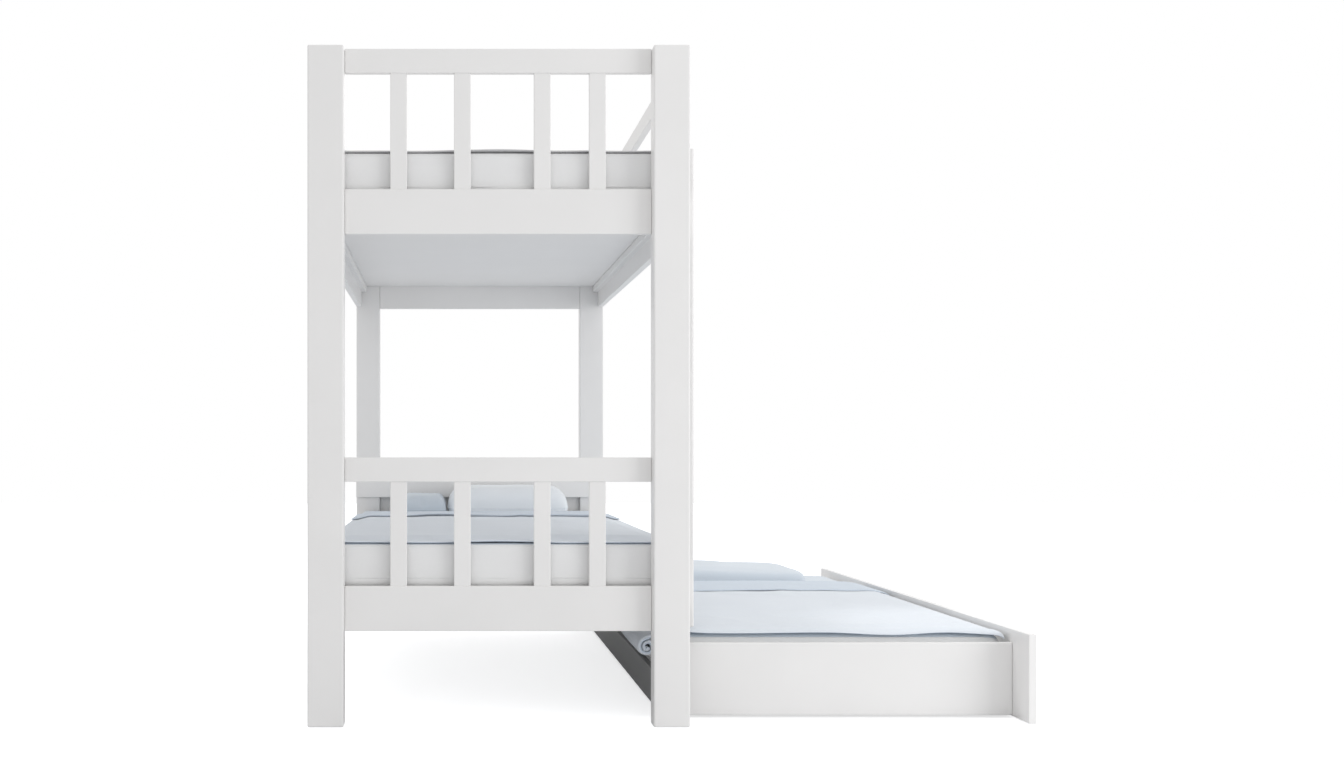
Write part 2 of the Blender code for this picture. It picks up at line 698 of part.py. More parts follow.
def build_guards(paint):
    """The right guard from the ladder to the head posts, and the lower left guard in one piece."""
    bottom = BED_HEIGHT - RIGHT_GUARD_DROP - RIGHT_GUARD_HEIGHT
    left = BED_WIDTH - RAIL_THICKNESS
    foot = ladder_far_edge()
    high = (left + RAIL_THICKNESS, SIDE_HEAD, bottom + RIGHT_GUARD_HEIGHT)
    rail = board("guard_rail_right", (left, foot, bottom), high, paint)
    corners = upright_corners(left, foot + UPRIGHT_INSET, bottom, RIGHT_UPRIGHT_SHARES)
    for number, (low, high) in enumerate(corners, 1):
        board(f"guard_upright_right_{number}", low, high, paint)
    carriers = (rail, bpy.data.objects["upper_side_rail_right"])
    house_ends("right_guard_pockets", corners, carriers)
    bottom = UPPER_MATTRESS_TOP + LEFT_GUARD_ABOVE_MATTRESS - LEFT_GUARD_HEIGHT
    high = (RAIL_THICKNESS, SIDE_HEAD, bottom + LEFT_GUARD_HEIGHT)
    rail = board("guard_left", (0, SIDE_FOOT, bottom), high, paint)
    corners = upright_corners(0, SIDE_FOOT, bottom, LEFT_UPRIGHT_SHARES)
    add_boolean(rail, helper_boxes("left_uprights", corners), "UNION")
    house_ends("left_guard_pockets", corners, (bpy.data.objects["upper_side_rail_left"],))


def ladder_levels():
    """The ladder's bottom and top, clear of the trundle's duvet and panel below it."""
    bottom = max(TRUNDLE_HEM_TOP - DUVET_HEM_STEP, PANEL_TOP) + LADDER_BOTTOM_CLEARANCE
    top = UPPER_MATTRESS_TOP + LADDER_TOP_RISE
    return bottom, top


def rung_boxes():
    """The two corners of each rung, evenly spaced, with its ends let into the stiles."""
    bottom, top = ladder_levels()
    first = bottom + FIRST_RUNG_RISE
    last = top - LAST_RUNG_DROP
    inner = BED_WIDTH + JOINT_GAP + (STILE_THICKNESS - RUNG_THICKNESS) / 2
    foot = POST_DEPTH + LADDER_POST_CLEARANCE + STILE_WIDTH
    head = ladder_far_edge() - STILE_WIDTH
    boxes = []
    for i in range(RUNG_COUNT):
        centre = first + (last - first) * i / (RUNG_COUNT - 1)
        low = Vector((inner, foot - TENON, centre - RUNG_HEIGHT / 2))
        high = Vector((inner + RUNG_THICKNESS, head + TENON, centre + RUNG_HEIGHT / 2))
        boxes.append((low, high))
    return boxes


def ladder_hook(name, middle, steel):
    """A bent steel strip on the back of a stile, hooked over the upper side rail."""
    rail_top = UPPER_RAIL_BOTTOM + SIDE_RAIL_RISE + SIDE_RAIL_HEIGHT
    seat = rail_top + JOINT_GAP
    back = BED_WIDTH
    front = BED_WIDTH - RAIL_THICKNESS - JOINT_GAP
    outline = [
        (back, seat + HOOK_RISE),
        (back, seat),
        (front, seat),
        (front, seat - HOOK_DROP),
        (front - HOOK_STEEL, seat - HOOK_DROP),
        (front - HOOK_STEEL, seat + HOOK_STEEL),
        (back - HOOK_STEEL, seat + HOOK_STEEL),
        (back - HOOK_STEEL, seat + HOOK_RISE),
    ]
    start = middle - HOOK_WIDTH / 2
    bm = bmesh.new()
    end = bm.faces.new([bm.verts.new((x, start, z)) for x, z in outline])
    extrude_face(bm, end, (0, HOOK_WIDTH, 0))
    add_object(name, bm, (0, 0, 0), steel)


def build_ladder(paint, steel):
    bottom, top = ladder_levels()
    inner = BED_WIDTH + JOINT_GAP
    outer = inner + STILE_THICKNESS
    rungs = rung_boxes()
    stiles = []
    foot_start = POST_DEPTH + LADDER_POST_CLEARANCE
    head_start = ladder_far_edge() - STILE_WIDTH
    for end, start in (("foot", foot_start), ("head", head_start)):
        low = (inner, start, bottom)
        high = (outer, start + STILE_WIDTH, top)
        name = f"ladder_stile_{end}"
        stiles.append(board(name, low, high, paint, POST_EDGE_RADIUS, POST_BEVEL_SEGMENTS))
        ladder_hook(f"ladder_hook_{end}", start + STILE_WIDTH / 2, steel)
    house_ends("rung_pockets", rungs, stiles)
    for number, (low, high) in enumerate(rungs, 1):
        board(f"ladder_rung_{number}", low, high, paint)


def build_bedding(ticking, duvet_cloth, pillow_cloth):
    """Mattresses, duvets and pillows of the two bunks."""
    left = INNER_LEFT + MATTRESS_SIDE_CLEARANCE
    right = INNER_RIGHT - MATTRESS_SIDE_CLEARANCE
    foot = POST_DEPTH + MATTRESS_END_CLEARANCE
    head = BED_LENGTH - POST_DEPTH - MATTRESS_END_CLEARANCE
    pillow_head = BED_LENGTH - POST_DEPTH - RAIL_THICKNESS - PILLOW_HEAD_CLEARANCE
    pillow_foot = pillow_head - LOWER_PILLOW_LENGTH
    for bunk, bottom in (("upper", UPPER_MATTRESS_BOTTOM), ("lower", LOWER_MATTRESS_BOTTOM)):
        top = bottom + MATTRESS_THICKNESS
        mattress(f"{bunk}_mattress", (left, foot, bottom), (right, head, top),
                 MATTRESS_EDGE_RADIUS, ticking)
        duvet_low = (left + BUNK_DUVET_SIDE_INSET, foot + DUVET_END_INSET, top + JOINT_GAP)
        duvet_top = top + JOINT_GAP + DUVET_THICKNESS + DUVET_HEM_STEP
        duvet_high = (right - BUNK_DUVET_SIDE_INSET, pillow_foot - BUNK_DUVET_TO_PILLOW, duvet_top)
        lay = lie_over(left, right, top, MATTRESS_EDGE_RADIUS)
        duvet(f"{bunk}_duvet", duvet_low, duvet_high, BUNK_DUVET_TURNED_BACK, lay, duvet_cloth)
    pillow_bottom = LOWER_MATTRESS_TOP + JOINT_GAP
    right_low = (RIGHT_PILLOW_FROM_LEFT, pillow_foot, pillow_bottom)
    right_edge = RIGHT_PILLOW_FROM_LEFT + RIGHT_PILLOW_WIDTH
    right_high = (right_edge, pillow_head, pillow_bottom + RIGHT_PILLOW_HEIGHT)
    pillow("lower_pillow_right", right_low, right_high, pillow_cloth)
    left_edge = RIGHT_PILLOW_FROM_LEFT - PILLOW_SPACING
    left_low = (left_edge - LEFT_PILLOW_WIDTH, pillow_foot, pillow_bottom)
    left_high = (left_edge, pillow_head, pillow_bottom + LEFT_PILLOW_HEIGHT)
    pillow("lower_pillow_left", left_low, left_high, pillow_cloth)


def build_trundle(paint):
    """The trundle's boards, pulled out to the right of the bed."""
    board("trundle_front_panel",
          (TRUNDLE_PANEL_INNER, PANEL_END_INSET, PANEL_GROUND_CLEARANCE),
          (TRUNDLE_PANEL_INNER + PANEL_THICKNESS, BED_LENGTH - PANEL_END_INSET, PANEL_TOP), paint)
    end_right = TRUNDLE_PANEL_INNER - JOINT_GAP
    end_bottom = TRUNDLE_BOARD_GROUND_CLEARANCE
    end_top = BASE_TOP + END_BOARD_RISE
    board("trundle_foot_board", (TRUNDLE_BACK_OUTER, TRUNDLE_FOOT_OUTER, end_bottom),
          (end_right, TRUNDLE_FOOT_INNER, end_top), paint)
    board("trundle_head_board", (TRUNDLE_BACK_OUTER, TRUNDLE_HEAD_INNER, end_bottom),
          (end_right, TRUNDLE_HEAD_OUTER, end_top), paint)
    foot = TRUNDLE_FOOT_INNER + JOINT_GAP
    head = TRUNDLE_HEAD_INNER - JOINT_GAP
    board("trundle_back_board", (TRUNDLE_BACK_OUTER, foot, end_bottom),
          (TRUNDLE_BACK_INNER, head, BASE_TOP), paint)
    board("trundle_base_board", (TRUNDLE_BACK_INNER + JOINT_GAP, foot, BASE_UNDERSIDE),
          (end_right, head, BASE_TOP), paint)


def wheel_places():
    """Wheel centres, numbered from the back foot corner to the front head corner."""
    back = TRUNDLE_BACK_OUTER + WHEEL_INSET_X
    front = TRUNDLE_PANEL_INNER - WHEEL_INSET_X
    foot = TRUNDLE_FOOT_OUTER + WHEEL_INSET_Y
    head = TRUNDLE_HEAD_OUTER - WHEEL_INSET_Y
    return [Vector((x, y, WHEEL_RADIUS)) for y in (foot, head) for x in (back, front)]


def wheel_profile():
    """Closed half section of a wheel: bore, hub, web and a tread with eased shoulders."""
    bore = AXLE_RADIUS + AXLE_CLEARANCE
    hub = WHEEL_HUB_WIDTH / 2
    web = WHEEL_WEB_WIDTH / 2
    half = WHEEL_WIDTH / 2
    rim = WHEEL_RADIUS - WHEEL_RIM_DEPTH
    tread = WHEEL_RADIUS - WHEEL_SHOULDER
    right_side = [
        (bore, hub),
        (WHEEL_HUB_RADIUS, hub),
        (WHEEL_HUB_RADIUS, web),
        (rim, web),
        (rim, half),
        (tread, half),
        (WHEEL_RADIUS, half - WHEEL_SHOULDER),
    ]
    left_side = [(radius, -along) for radius, along in reversed(right_side)]
    return right_side + left_side


def fork_blank(half_width, top):
    """A fork before its wheel gap is cut: a plate whose body narrows to a round tip at the axle."""
    shoulder = top - FORK_STEEL
    outline = []
    for i in range(TIP_STEPS + 1):
        angle = math.pi * i / TIP_STEPS
        outline.append((-FORK_TIP_RADIUS * math.cos(angle), -FORK_TIP_RADIUS * math.sin(angle)))
    outline += [
        (FORK_LENGTH / 2, shoulder),
        (FORK_PLATE_LENGTH / 2, shoulder),
        (FORK_PLATE_LENGTH / 2, top),
        (-FORK_PLATE_LENGTH / 2, top),
        (-FORK_PLATE_LENGTH / 2, shoulder),
        (-FORK_LENGTH / 2, shoulder),
    ]
    bm = bmesh.new()
    side = bm.faces.new([bm.verts.new((x, -half_width, z)) for x, z in outline])
    extrude_face(bm, side, (0, 2 * half_width, 0))
    return bm


def axle_pin(half_width):
    """A riveted axle: a plain pin through both cheeks with a flat head outside each."""
    head = half_width + AXLE_HEAD_WIDTH
    profile = (
        (0, -head),
        (AXLE_HEAD_RADIUS, -head),
        (AXLE_HEAD_RADIUS, -half_width),
        (AXLE_RADIUS, -half_width),
        (AXLE_RADIUS, half_width),
        (AXLE_HEAD_RADIUS, half_width),
        (AXLE_HEAD_RADIUS, head),
        (0, head),
    )
    bm = bmesh.new()
    turned(bm, profile, SMALL_ROUND_STEPS)
    return bm


def build_wheels(rubber, steel):
    """Four wheels, each in a steel fork under the base board with its axle riveted through."""
    inner = WHEEL_HUB_WIDTH / 2 + FORK_SIDE_CLEARANCE
    outer = inner + FORK_STEEL
    top = BASE_UNDERSIDE - JOINT_GAP - WHEEL_RADIUS
    gap_low = Vector((-FORK_PLATE_LENGTH, -inner, -FORK_TIP_RADIUS - CUT_OVERRUN))
    gap_high = Vector((FORK_PLATE_LENGTH, inner, top - FORK_STEEL))
    for number, centre in enumerate(wheel_places(), 1):
        bm = bmesh.new()
        turned(bm, wheel_profile(), ROUND_STEPS)
        shade_round(add_object(f"trundle_wheel_{number}", bm, centre, rubber))
        fork = add_object(f"wheel_fork_{number}", fork_blank(outer, top), centre, steel)
        gap = helper_boxes(f"fork_gap_{number}", [(centre + gap_low, centre + gap_high)])
        add_boolean(fork, gap, "DIFFERENCE")
        pin = cutter(f"axle_{number}", axle_pin(outer))
        pin.location = centre
        add_boolean(fork, pin, "UNION")
        shade_round(fork)


def build_trundle_bedding(ticking, duvet_cloth, pillow_cloth):
    left = TRUNDLE_BACK_OUTER + MATTRESS_SIDE_CLEARANCE
    right = TRUNDLE_PANEL_INNER - MATTRESS_SIDE_CLEARANCE
    foot = TRUNDLE_FOOT_INNER + MATTRESS_END_CLEARANCE
    head = TRUNDLE_HEAD_INNER - MATTRESS_END_CLEARANCE
    mattress("trundle_mattress", (left, foot, TRUNDLE_MATTRESS_BOTTOM),
             (right, head, TRUNDLE_MATTRESS_TOP), TRUNDLE_MATTRESS_EDGE_RADIUS, ticking)
    pillow_right = right - TRUNDLE_PILLOW_SIDE_CLEARANCE
    pillow_head = head - PILLOW_HEAD_CLEARANCE
    pillow_foot = pillow_head - TRUNDLE_PILLOW_LENGTH
    duvet_left = left + TRUNDLE_DUVET_SIDE_INSET
    duvet_right = right - TRUNDLE_DUVET_SIDE_INSET
    corner = Vector((duvet_left, foot + DUVET_END_INSET, TRUNDLE_MATTRESS_TOP + JOINT_GAP))
    duvet_high = (duvet_right, pillow_foot - TRUNDLE_DUVET_TO_PILLOW, TRUNDLE_HEM_TOP)
    bend = lie_over(left, right, TRUNDLE_MATTRESS_TOP, TRUNDLE_MATTRESS_EDGE_RADIUS)

    def lay(place):
        return fold_corner(bend(slip_corner(place, corner)), left, corner)

    across = [DUVET_EDGE_RADIUS + CORNER_STOP_ACROSS * i for i in range(1, CORNER_STOPS_ACROSS + 1)]
    across.append(right - TRUNDLE_MATTRESS_EDGE_RADIUS - duvet_left)
    along = [DUVET_EDGE_RADIUS + CORNER_STOP_ALONG * i for i in range(1, CORNER_STOPS_ALONG + 1)]
    duvet("trundle_duvet", corner, duvet_high, TRUNDLE_DUVET_TURNED_BACK, lay, duvet_cloth,
          (across, along))
    pillow_low = (pillow_right - TRUNDLE_PILLOW_WIDTH, pillow_foot, TRUNDLE_MATTRESS_TOP + JOINT_GAP)
    pillow("trundle_pillow", pillow_low, (pillow_right, pillow_head, TRUNDLE_PILLOW_TOP), pillow_cloth)


def hang_trundle_on_slide():
    """Parent the trundle's pieces to an empty on the floor at its middle, where it slides."""
    middle_x = (TRUNDLE_BACK_OUTER + TRUNDLE_PANEL_INNER + PANEL_THICKNESS) / 2
    slide = bpy.data.objects.new("pull_out_slide", None)
    slide.location = (middle_x, BED_LENGTH / 2, 0)
    for piece in bpy.data.objects:
        if piece.name.startswith(("trundle_", "wheel_fork", "fork_gap", "axle_")):
            piece.parent = slide
            piece.matrix_parent_inverse = Matrix.Translation(-slide.location)
    bpy.context.collection.objects.link(slide)


def centre_on_floor():
    """Move everything so that the middle of the whole part's footprint is the origin."""
    whole_width = TRUNDLE_PANEL_INNER + PANEL_THICKNESS
    for piece in bpy.data.objects:
        if piece.parent is None:
            piece.location -= Vector((whole_width / 2, BED_LENGTH / 2, 0))


def main():
    clear_scene()
    paint = make_material("white_paint", (0.83, 0.83, 0.83), 0.42, 0.0)
    steel = make_material("zinc_steel", (0.62, 0.63, 0.64), 0.35, 1.0)
    rubber = make_material("grey_rubber", (0.10, 0.10, 0.11), 0.70, 0.0)
    ticking = make_material("mattress_ticking", (0.80, 0.79, 0.77), 0.85, 0.0)
    duvet_cloth = make_material("duvet_cotton", (0.72, 0.77, 0.83), 0.85, 0.0)
    pillow_cloth = make_material("pillow_cotton", (0.66, 0.73, 0.80), 0.85, 0.0)
    build_posts(paint)
    build_end_panels(paint)
    build_headboard(paint)
    build_side_rails(paint)
    build_bed_boards(paint)
    build_guards(paint)
    build_ladder(paint, steel)
    build_bedding(ticking, duvet_cloth, pillow_cloth)
    build_trundle(paint)
    build_wheels(rubber, steel)
    build_trundle_bedding(ticking, duvet_cloth, pillow_cloth)
    hang_trundle_on_slide()
    centre_on_floor()


main()
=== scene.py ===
"""Bunk bed with a trundle: its lacquer, its fittings and its bedding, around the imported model."""
import json
import math

import bmesh
import bpy
import numpy as np
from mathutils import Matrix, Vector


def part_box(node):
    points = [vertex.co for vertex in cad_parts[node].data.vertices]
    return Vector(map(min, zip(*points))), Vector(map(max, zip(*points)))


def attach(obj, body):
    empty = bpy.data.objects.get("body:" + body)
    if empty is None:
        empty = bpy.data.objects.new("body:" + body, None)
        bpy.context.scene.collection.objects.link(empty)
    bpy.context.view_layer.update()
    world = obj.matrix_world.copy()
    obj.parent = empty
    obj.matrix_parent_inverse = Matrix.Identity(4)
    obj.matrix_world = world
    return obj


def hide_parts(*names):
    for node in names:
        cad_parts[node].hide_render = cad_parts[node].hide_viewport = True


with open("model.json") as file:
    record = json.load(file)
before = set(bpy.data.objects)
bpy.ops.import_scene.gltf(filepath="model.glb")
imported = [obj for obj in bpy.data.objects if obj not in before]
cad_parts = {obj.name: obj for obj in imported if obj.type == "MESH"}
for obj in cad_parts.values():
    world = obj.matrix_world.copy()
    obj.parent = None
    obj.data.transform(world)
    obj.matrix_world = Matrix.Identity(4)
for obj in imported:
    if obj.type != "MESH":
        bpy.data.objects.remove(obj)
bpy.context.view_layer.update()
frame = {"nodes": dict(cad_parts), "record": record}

bl_info = {
    "name": "Bunk bed with trundle",
    "version": (1, 0, 0),
    "blender": (4, 5, 0),
    "location": "3D View > Sidebar > Bunk Bed",
    "description": "Paints the bed's woodwork and fittings, makes its bedding and sets the stage",
    "category": "Object",
}

MM = 0.001
RANDOM_SEED = 20

# The finish that the record gives each solid
SLOTS = {row["node"]: row["material_slot"] for row in frame["record"]["subparts"]}

# The photograph's frame in pixels, and where its perspective meets in it
PHOTO_WIDTH = 1344
PHOTO_HEIGHT = 768
VANISHING_X = 445.6
VANISHING_Y = 448.0
CAMERA_PLACE = (-0.5660, -4.787, 0.6937)
CAMERA_FOCAL_PIXELS = 1502.7
SENSOR_WIDTH = 36.0

# The big soft lamps: name, place, width and power; and the point that they shine on
SOFT_LAMPS = (
    ("key", (3.3, -3.4, 1.1), 2.4, 50.0),
    ("top", (0.6, 0.5, 5.0), 4.0, 42.0),
    ("back", (1.6, 5.0, 3.0), 3.0, 24.0),
)
SOFT_LAMPS_AIM = (-0.2, 0.0, 0.7)

# The small lamp that lays a pool of light on the trundle's near right corner
POOL_PLACE = (0.25, -0.35, 2.30)
POOL_AIM = (0.82, -0.76, 0.22)
POOL_ANGLE = math.radians(21)
POOL_BLEND = 0.6
POOL_LAMP_RADIUS = 0.12
POOL_POWER = 31.0

# Strength of the world's light, and of the floor's own white as the camera sees it
WORLD_STRENGTH = 0.755
FLOOR_GLOW = 0.70
FLOOR_HALF_WIDTH = 14.0

# Roughness of the coats where they are thin and where they are thick
SATIN_SHINE = (0.36, 0.48)
MATT_SHINE = (0.62, 0.78)

# Scale of the wood's grain along a board, where it is 1 across the board
GRAIN_ALONG = 0.025

# Radius of a wheel's nylon centre
HUB_RADIUS = 24 * MM

# Rounding of the bunks' mattresses and of the trundle's
MATTRESS_ROUND = 14 * MM
TRUNDLE_MATTRESS_ROUND = 40 * MM
# Steps between a mattress's points: across its top, and up its sides
MATTRESS_STEP = 16 * MM
MATTRESS_SIDE_STEP = 12 * MM
# How far a mattress's sides stand in from the solid's before they swell, and how they swell
MATTRESS_INSET = 1.5 * MM
MATTRESS_BELLY = 2.2 * MM
MATTRESS_RIPPLE = 1.0 * MM
MATTRESS_RIPPLE_LENGTH = 0.16
# Half the width of a quilting line, and where the lines fade out by the edge
QUILTING_WIDTH = 12 * MM
QUILTING_FADE = (0.01, 0.05)
# The upper tape lies this share of the edge's radius below the top. Both tapes turn the corners
# by this much more than the edge's radius, and have a point at each step
TAPE_DROP = 0.3
TAPE_CORNER = 12 * MM
TAPE_STEP = 30 * MM

# Air below a duvet
DUVET_GAP = 0.3 * MM
# The step between a duvet's points, and the ramps over which its thickness changes: where it
# begins to hang, at the hem, and from before to behind the hem in the layer below
DUVET_STEP = 18 * MM
HANG_RAMP = 0.03
HEM_RAMP = 0.03
UNDER_HEM_RAMP = (-0.045, 0.01)
# The lip is thicker by this share where the duvet hangs
HANGING_LIP = 1.2
# How far from the hem the hem's lift reaches, and half the width of the slot's middle
HEM_LIFT_REACH = 22 * MM
SLOT_MIDDLE_WIDTH = 0.10
# Waves of the slot and of the hem's lift: their length, their middle, and their least and most
SLOT_WAVES = (0.24, 0.8, 0.1, 1.7)
HEM_WAVES = (0.30, 1.0, 0.6, 1.4)
HEM_WAVE_HEIGHT = 0.35
# The foot edge and the hem wander: by how much, in what wavelength, and how far in it fades out
FOOT_WANDER = (1.2 * MM, 0.25)
HEM_WANDER = (6.0 * MM, 0.38)
WANDER_REACH = 50 * MM
# The droop of the foot edge follows the quarter circle this far, begins within this share of the
# width, and changes from its left share to its right share between these
DROOP_LIMIT = 0.96
DROOP_START = 0.10
DROOP_CHANGE = (0.3, 0.95)
# Hills on a duvet: height and length. Creases: height, number, length and width
DUVET_HILLS = ((1.2 * MM, 0.42), (0.6 * MM, 0.16))
DUVET_CREASES = ((2.4 * MM, 18, 0.50, 18 * MM), (1.0 * MM, 30, 0.22, 8 * MM))
# Hills lift the cloth by this much, and only where it is this far clear of the mattress. They
# keep this share of their height at the edges
HILL_LIFT = 0.8 * MM
HILL_CLEARANCE = (2 * MM, 12 * MM)
HILLS_AT_EDGES = 0.2

# The slipped corner droops to this slope over this length, and then rolls in: the length at
# which the roll begins, and its radius at lengths along it
SLIP_DROOP = 0.3
SLIP_DROOP_LENGTH = 0.035
ROLL_START = 0.074
ROLL_LENGTHS = (ROLL_START, 0.159, 0.176, 0.196)
ROLL_RADII = (19.0 * MM, 8.0 * MM, 3.5 * MM, 2.2 * MM)
ROLL_TABLE_LENGTH = 0.20

# A pillow: how far its sides pull in between the corners, each skin's share of its height, how
# much its crown curves, its ripples' height and length, and the power by which it slopes
PILLOW_WAIST = 0.07
PILLOW_SKIN_SHARE = 0.46
PILLOW_CROWN = 0.9
PILLOW_RIPPLE = 1.2 * MM
PILLOW_RIPPLE_LENGTH = 0.19
PILLOW_SLOPE_POWER = 1.4
# The share of a pillow's height that is pressed flat below, and how softly
SINK_SHARE = 0.34
SINK_SOFTNESS = 0.06


def linear(hex_colour):
    """An sRGB hex value as linear red, green and blue."""
    parts = [int(hex_colour[i:i + 2], 16) / 255 for i in (1, 3, 5)]
    return tuple(c / 12.92 if c <= 0.04045 else ((c + 0.055) / 1.055) ** 2.4 for c in parts)


def colour_property(name, description, hex_colour):
    """A colour setting whose default is given as an sRGB hex value."""
    return bpy.props.FloatVectorProperty(
        name=name, description=description, subtype="COLOR", size=3, min=0.0, max=1.0,
        default=linear(hex_colour))


def length_property(name, description, default):
    """A length setting, in metres."""
    return bpy.props.FloatProperty(
        name=name, description=description, default=default, min=0.0,
        subtype="DISTANCE", unit="LENGTH")


class BunkBedColours(bpy.types.PropertyGroup):
    """Colours of the finishes."""
    lacquer: colour_property("Lacquer", "White satin lacquer on the woodwork", "#F1F0EF")
    lacquer_shade: colour_property("Lacquer shade", "The lacquer where it lies thinner", "#EBEAE9")
    zinc: colour_property("Zinc", "Bright zinc plating on hooks and forks", "#C3C6CA")
    tread: colour_property("Tread", "Rubber of the wheels", "#515357")
    hub: colour_property("Hub", "Nylon centres of the wheels", "#D3D4D4")
    ticking: colour_property("Ticking", "Woven cover of the mattresses", "#ECECEC")
    tape: colour_property("Tape", "Edge tape of the mattresses", "#E6E6E6")
    # The trundle's back board is grey as painted shade, for the shade that it lies in under the bed
    painted_shade_grey: colour_property("Painted shade", "Grey painted shade on the trundle's back board", "#949494")
    # The sheets' pale blue is partly the bedding's own colour and partly painted shade, the bluish
    # cast that the mattress tops take in shade
    sheet: colour_property("Sheet", "Fitted sheets over the mattresses", "#DCE4EC")
    duvet: colour_property("Duvet", "Upper side of the duvets", "#E0E6ED")
    lining: colour_property(
        "Lining", "Underside of the duvets, seen where they are turned back", "#CDD8E4")
    upper_sheet: colour_property("Upper sheet", "The upper bunk's fitted sheet, white", "#E8E8E9")
    # The upper duvet and its lining are a neutral grey of their own, made darker still as painted
    # shade for the shade along the duvet's edge
    upper_duvet: colour_property("Upper duvet", "The upper bunk's duvet, a pale grey", "#DEDEDE")
    upper_lining: colour_property("Upper duvet's lining", "Its underside", "#CCCCCD")
    pillow: colour_property("Pillow", "Cotton of the trundle's pillow case", "#DBE3EB")
    # The lower pillows are the trundle pillow's cotton: the paler tone is painted light on the lit
    # right pillow, the deeper tone painted shade on the shaded left one
    pillow_painted_light: colour_property(
        "Pillow with painted light", "Painted light on the case of the lower bunk's right pillow", "#F1F5F9")
    pillow_painted_shade: colour_property("Pillow with painted shade", "Painted shade on the case of its left pillow", "#CFD8E1")


class BunkBedSizes(bpy.types.PropertyGroup):
    """Sizes of the bedding that the model's solids don't give."""
    tape_radius: length_property("Edge tape", "Radius of a mattress's edge tape", 0.0016)
    tape_rise: length_property(
        "Lower tape's height", "The lower tape above the mattress's base", 0.021)
    quilt_pitch: length_property("Quilting", "Distance between a mattress's quilting lines", 0.130)
    quilt_depth: length_property("Quilting depth", "How deep the quilting lines are drawn", 0.0035)
    turn_back: length_property("Turned-back edge", "Length of the duvet folded back", 0.350)
    trundle_turn_back: length_property(
        "Trundle's turned-back edge", "Length of the trundle's duvet folded back", 0.320)
    seam_radius: length_property("Pillow seam", "Radius of a pillow's corded seam", 0.0022)
    thread_pitch: length_property(
        "Thread spacing", "Spacing of the cotton's threads as drawn, four times the real one",
        0.0016)


def smoothstep(low, high, value):
    """A ramp from 0 at low to 1 at high that starts and ends level."""
    share = np.clip((value - low) / (high - low), 0.0, 1.0)
    return share * share * (3 - 2 * share)


def smooth_field(x, y, seed, wavelength, count=9):
    """Gentle hills of about unit height: a sum of plane waves in seeded directions."""
    random = np.random.default_rng(RANDOM_SEED + seed)
    total = np.zeros(np.broadcast(x, y).shape)
    for turn, shift, stretch in zip(random.uniform(0, math.pi, count),
                                    random.uniform(0, math.tau, count),
                                    random.uniform(0.7, 1.4, count)):
        wave = math.tau / (wavelength * stretch)
        total += np.cos(wave * (x * math.cos(turn) + y * math.sin(turn)) + shift)
    return total / math.sqrt(count)


def crease_field(x, y, seed, count, low, high, length, width):
    """Long narrow ridges: each falls off as a bell across its line and fades out at its ends.

    Their centres lie anywhere between low and high, and their lines bend a little.
    """
    random = np.random.default_rng(RANDOM_SEED + seed)
    total = np.zeros(np.broadcast(x, y).shape)
    for _ in range(count):
        centre_x = random.uniform(low[0], high[0])
        centre_y = random.uniform(low[1], high[1])
        turn = random.uniform(0, math.pi)
        half = length * random.uniform(0.5, 1.0) / 2
        height = random.uniform(-1.0, 1.0)
        along = (x - centre_x) * math.cos(turn) + (y - centre_y) * math.sin(turn)
        across = (y - centre_y) * math.cos(turn) - (x - centre_x) * math.sin(turn)
        bend = across - along * along / (4 * half) * random.uniform(-0.5, 0.5)
        fade = np.exp(-(along / half) ** 4)
        total += height * fade * np.exp(-(bend / width) ** 2)
    return total


def cells_between(index):
    """Corner numbers of the cells between neighbours in a grid of point numbers."""
    return np.stack([index[:-1, :-1], index[1:, :-1], index[1:, 1:], index[:-1, 1:]], -1)


def grid_quads(rows, columns, close_rows=False, close_columns=False, first=0):
    """Corner numbers of the faces between neighbours on a grid, joined end to end where asked."""
    index = first + np.arange(rows * columns).reshape(rows, columns)
    if close_rows:
        index = np.vstack([index, index[:1]])
    if close_columns:
        index = np.hstack([index, index[:, :1]])
    return cells_between(index).reshape(-1, 4).tolist()


def edge_stops(low, high, edge, step):
    """Places from low to high: a step apart, and closer by a cosine within edge of either end."""
    fine = edge * (1 - np.cos(np.linspace(0, math.pi / 2, 6)))
    count = max(2, int(round((high - low - 2 * edge) / step)))
    middle = np.linspace(low + edge, high - edge, count + 1)
    return np.concatenate([low + fine[:-1], middle, (high - fine[:-1])[::-1]])


def make_mesh_piece(name, points, faces, material, level=0, other=None, other_from=0):
    """A smooth piece from an array of points and the corner numbers of its faces, normals out.

    Faces from number other_from on get the other material where one is given.
    """
    mesh = bpy.data.meshes.new(name)
    mesh.from_pydata(points.reshape(-1, 3).tolist(), [], faces)
    if other is not None:
        index = (np.arange(len(faces)) >= other_from).astype(np.int32)
        mesh.polygons.foreach_set("material_index", index)
    mesh.validate()
    piece = bpy.data.objects.new(name, mesh)
    bpy.context.scene.collection.objects.link(piece)
    mesh.materials.append(material)
    if other is not None:
        mesh.materials.append(other)
    turn_outward(piece)
    mesh.shade_smooth()
    if level:
        make_finer(piece, level)
    return piece


def make_finer(piece, level):
    """Finish a piece with a subdivision that is the same in the view and in the render."""
    finish = piece.modifiers.new("finer", "SUBSURF")
    finish.levels = level
    finish.render_levels = level


def turn_outward(piece):
    """Merge doubled points and turn every face of the closed surface outward."""
    bm = bmesh.new()
    bm.from_mesh(piece.data)
    bmesh.ops.remove_doubles(bm, verts=bm.verts, dist=0.01 * MM)
    bmesh.ops.recalc_face_normals(bm, faces=bm.faces)
    if bm.calc_volume(signed=True) < 0:
        bmesh.ops.reverse_faces(bm, faces=bm.faces)
    bm.to_mesh(piece.data)
    bm.free()


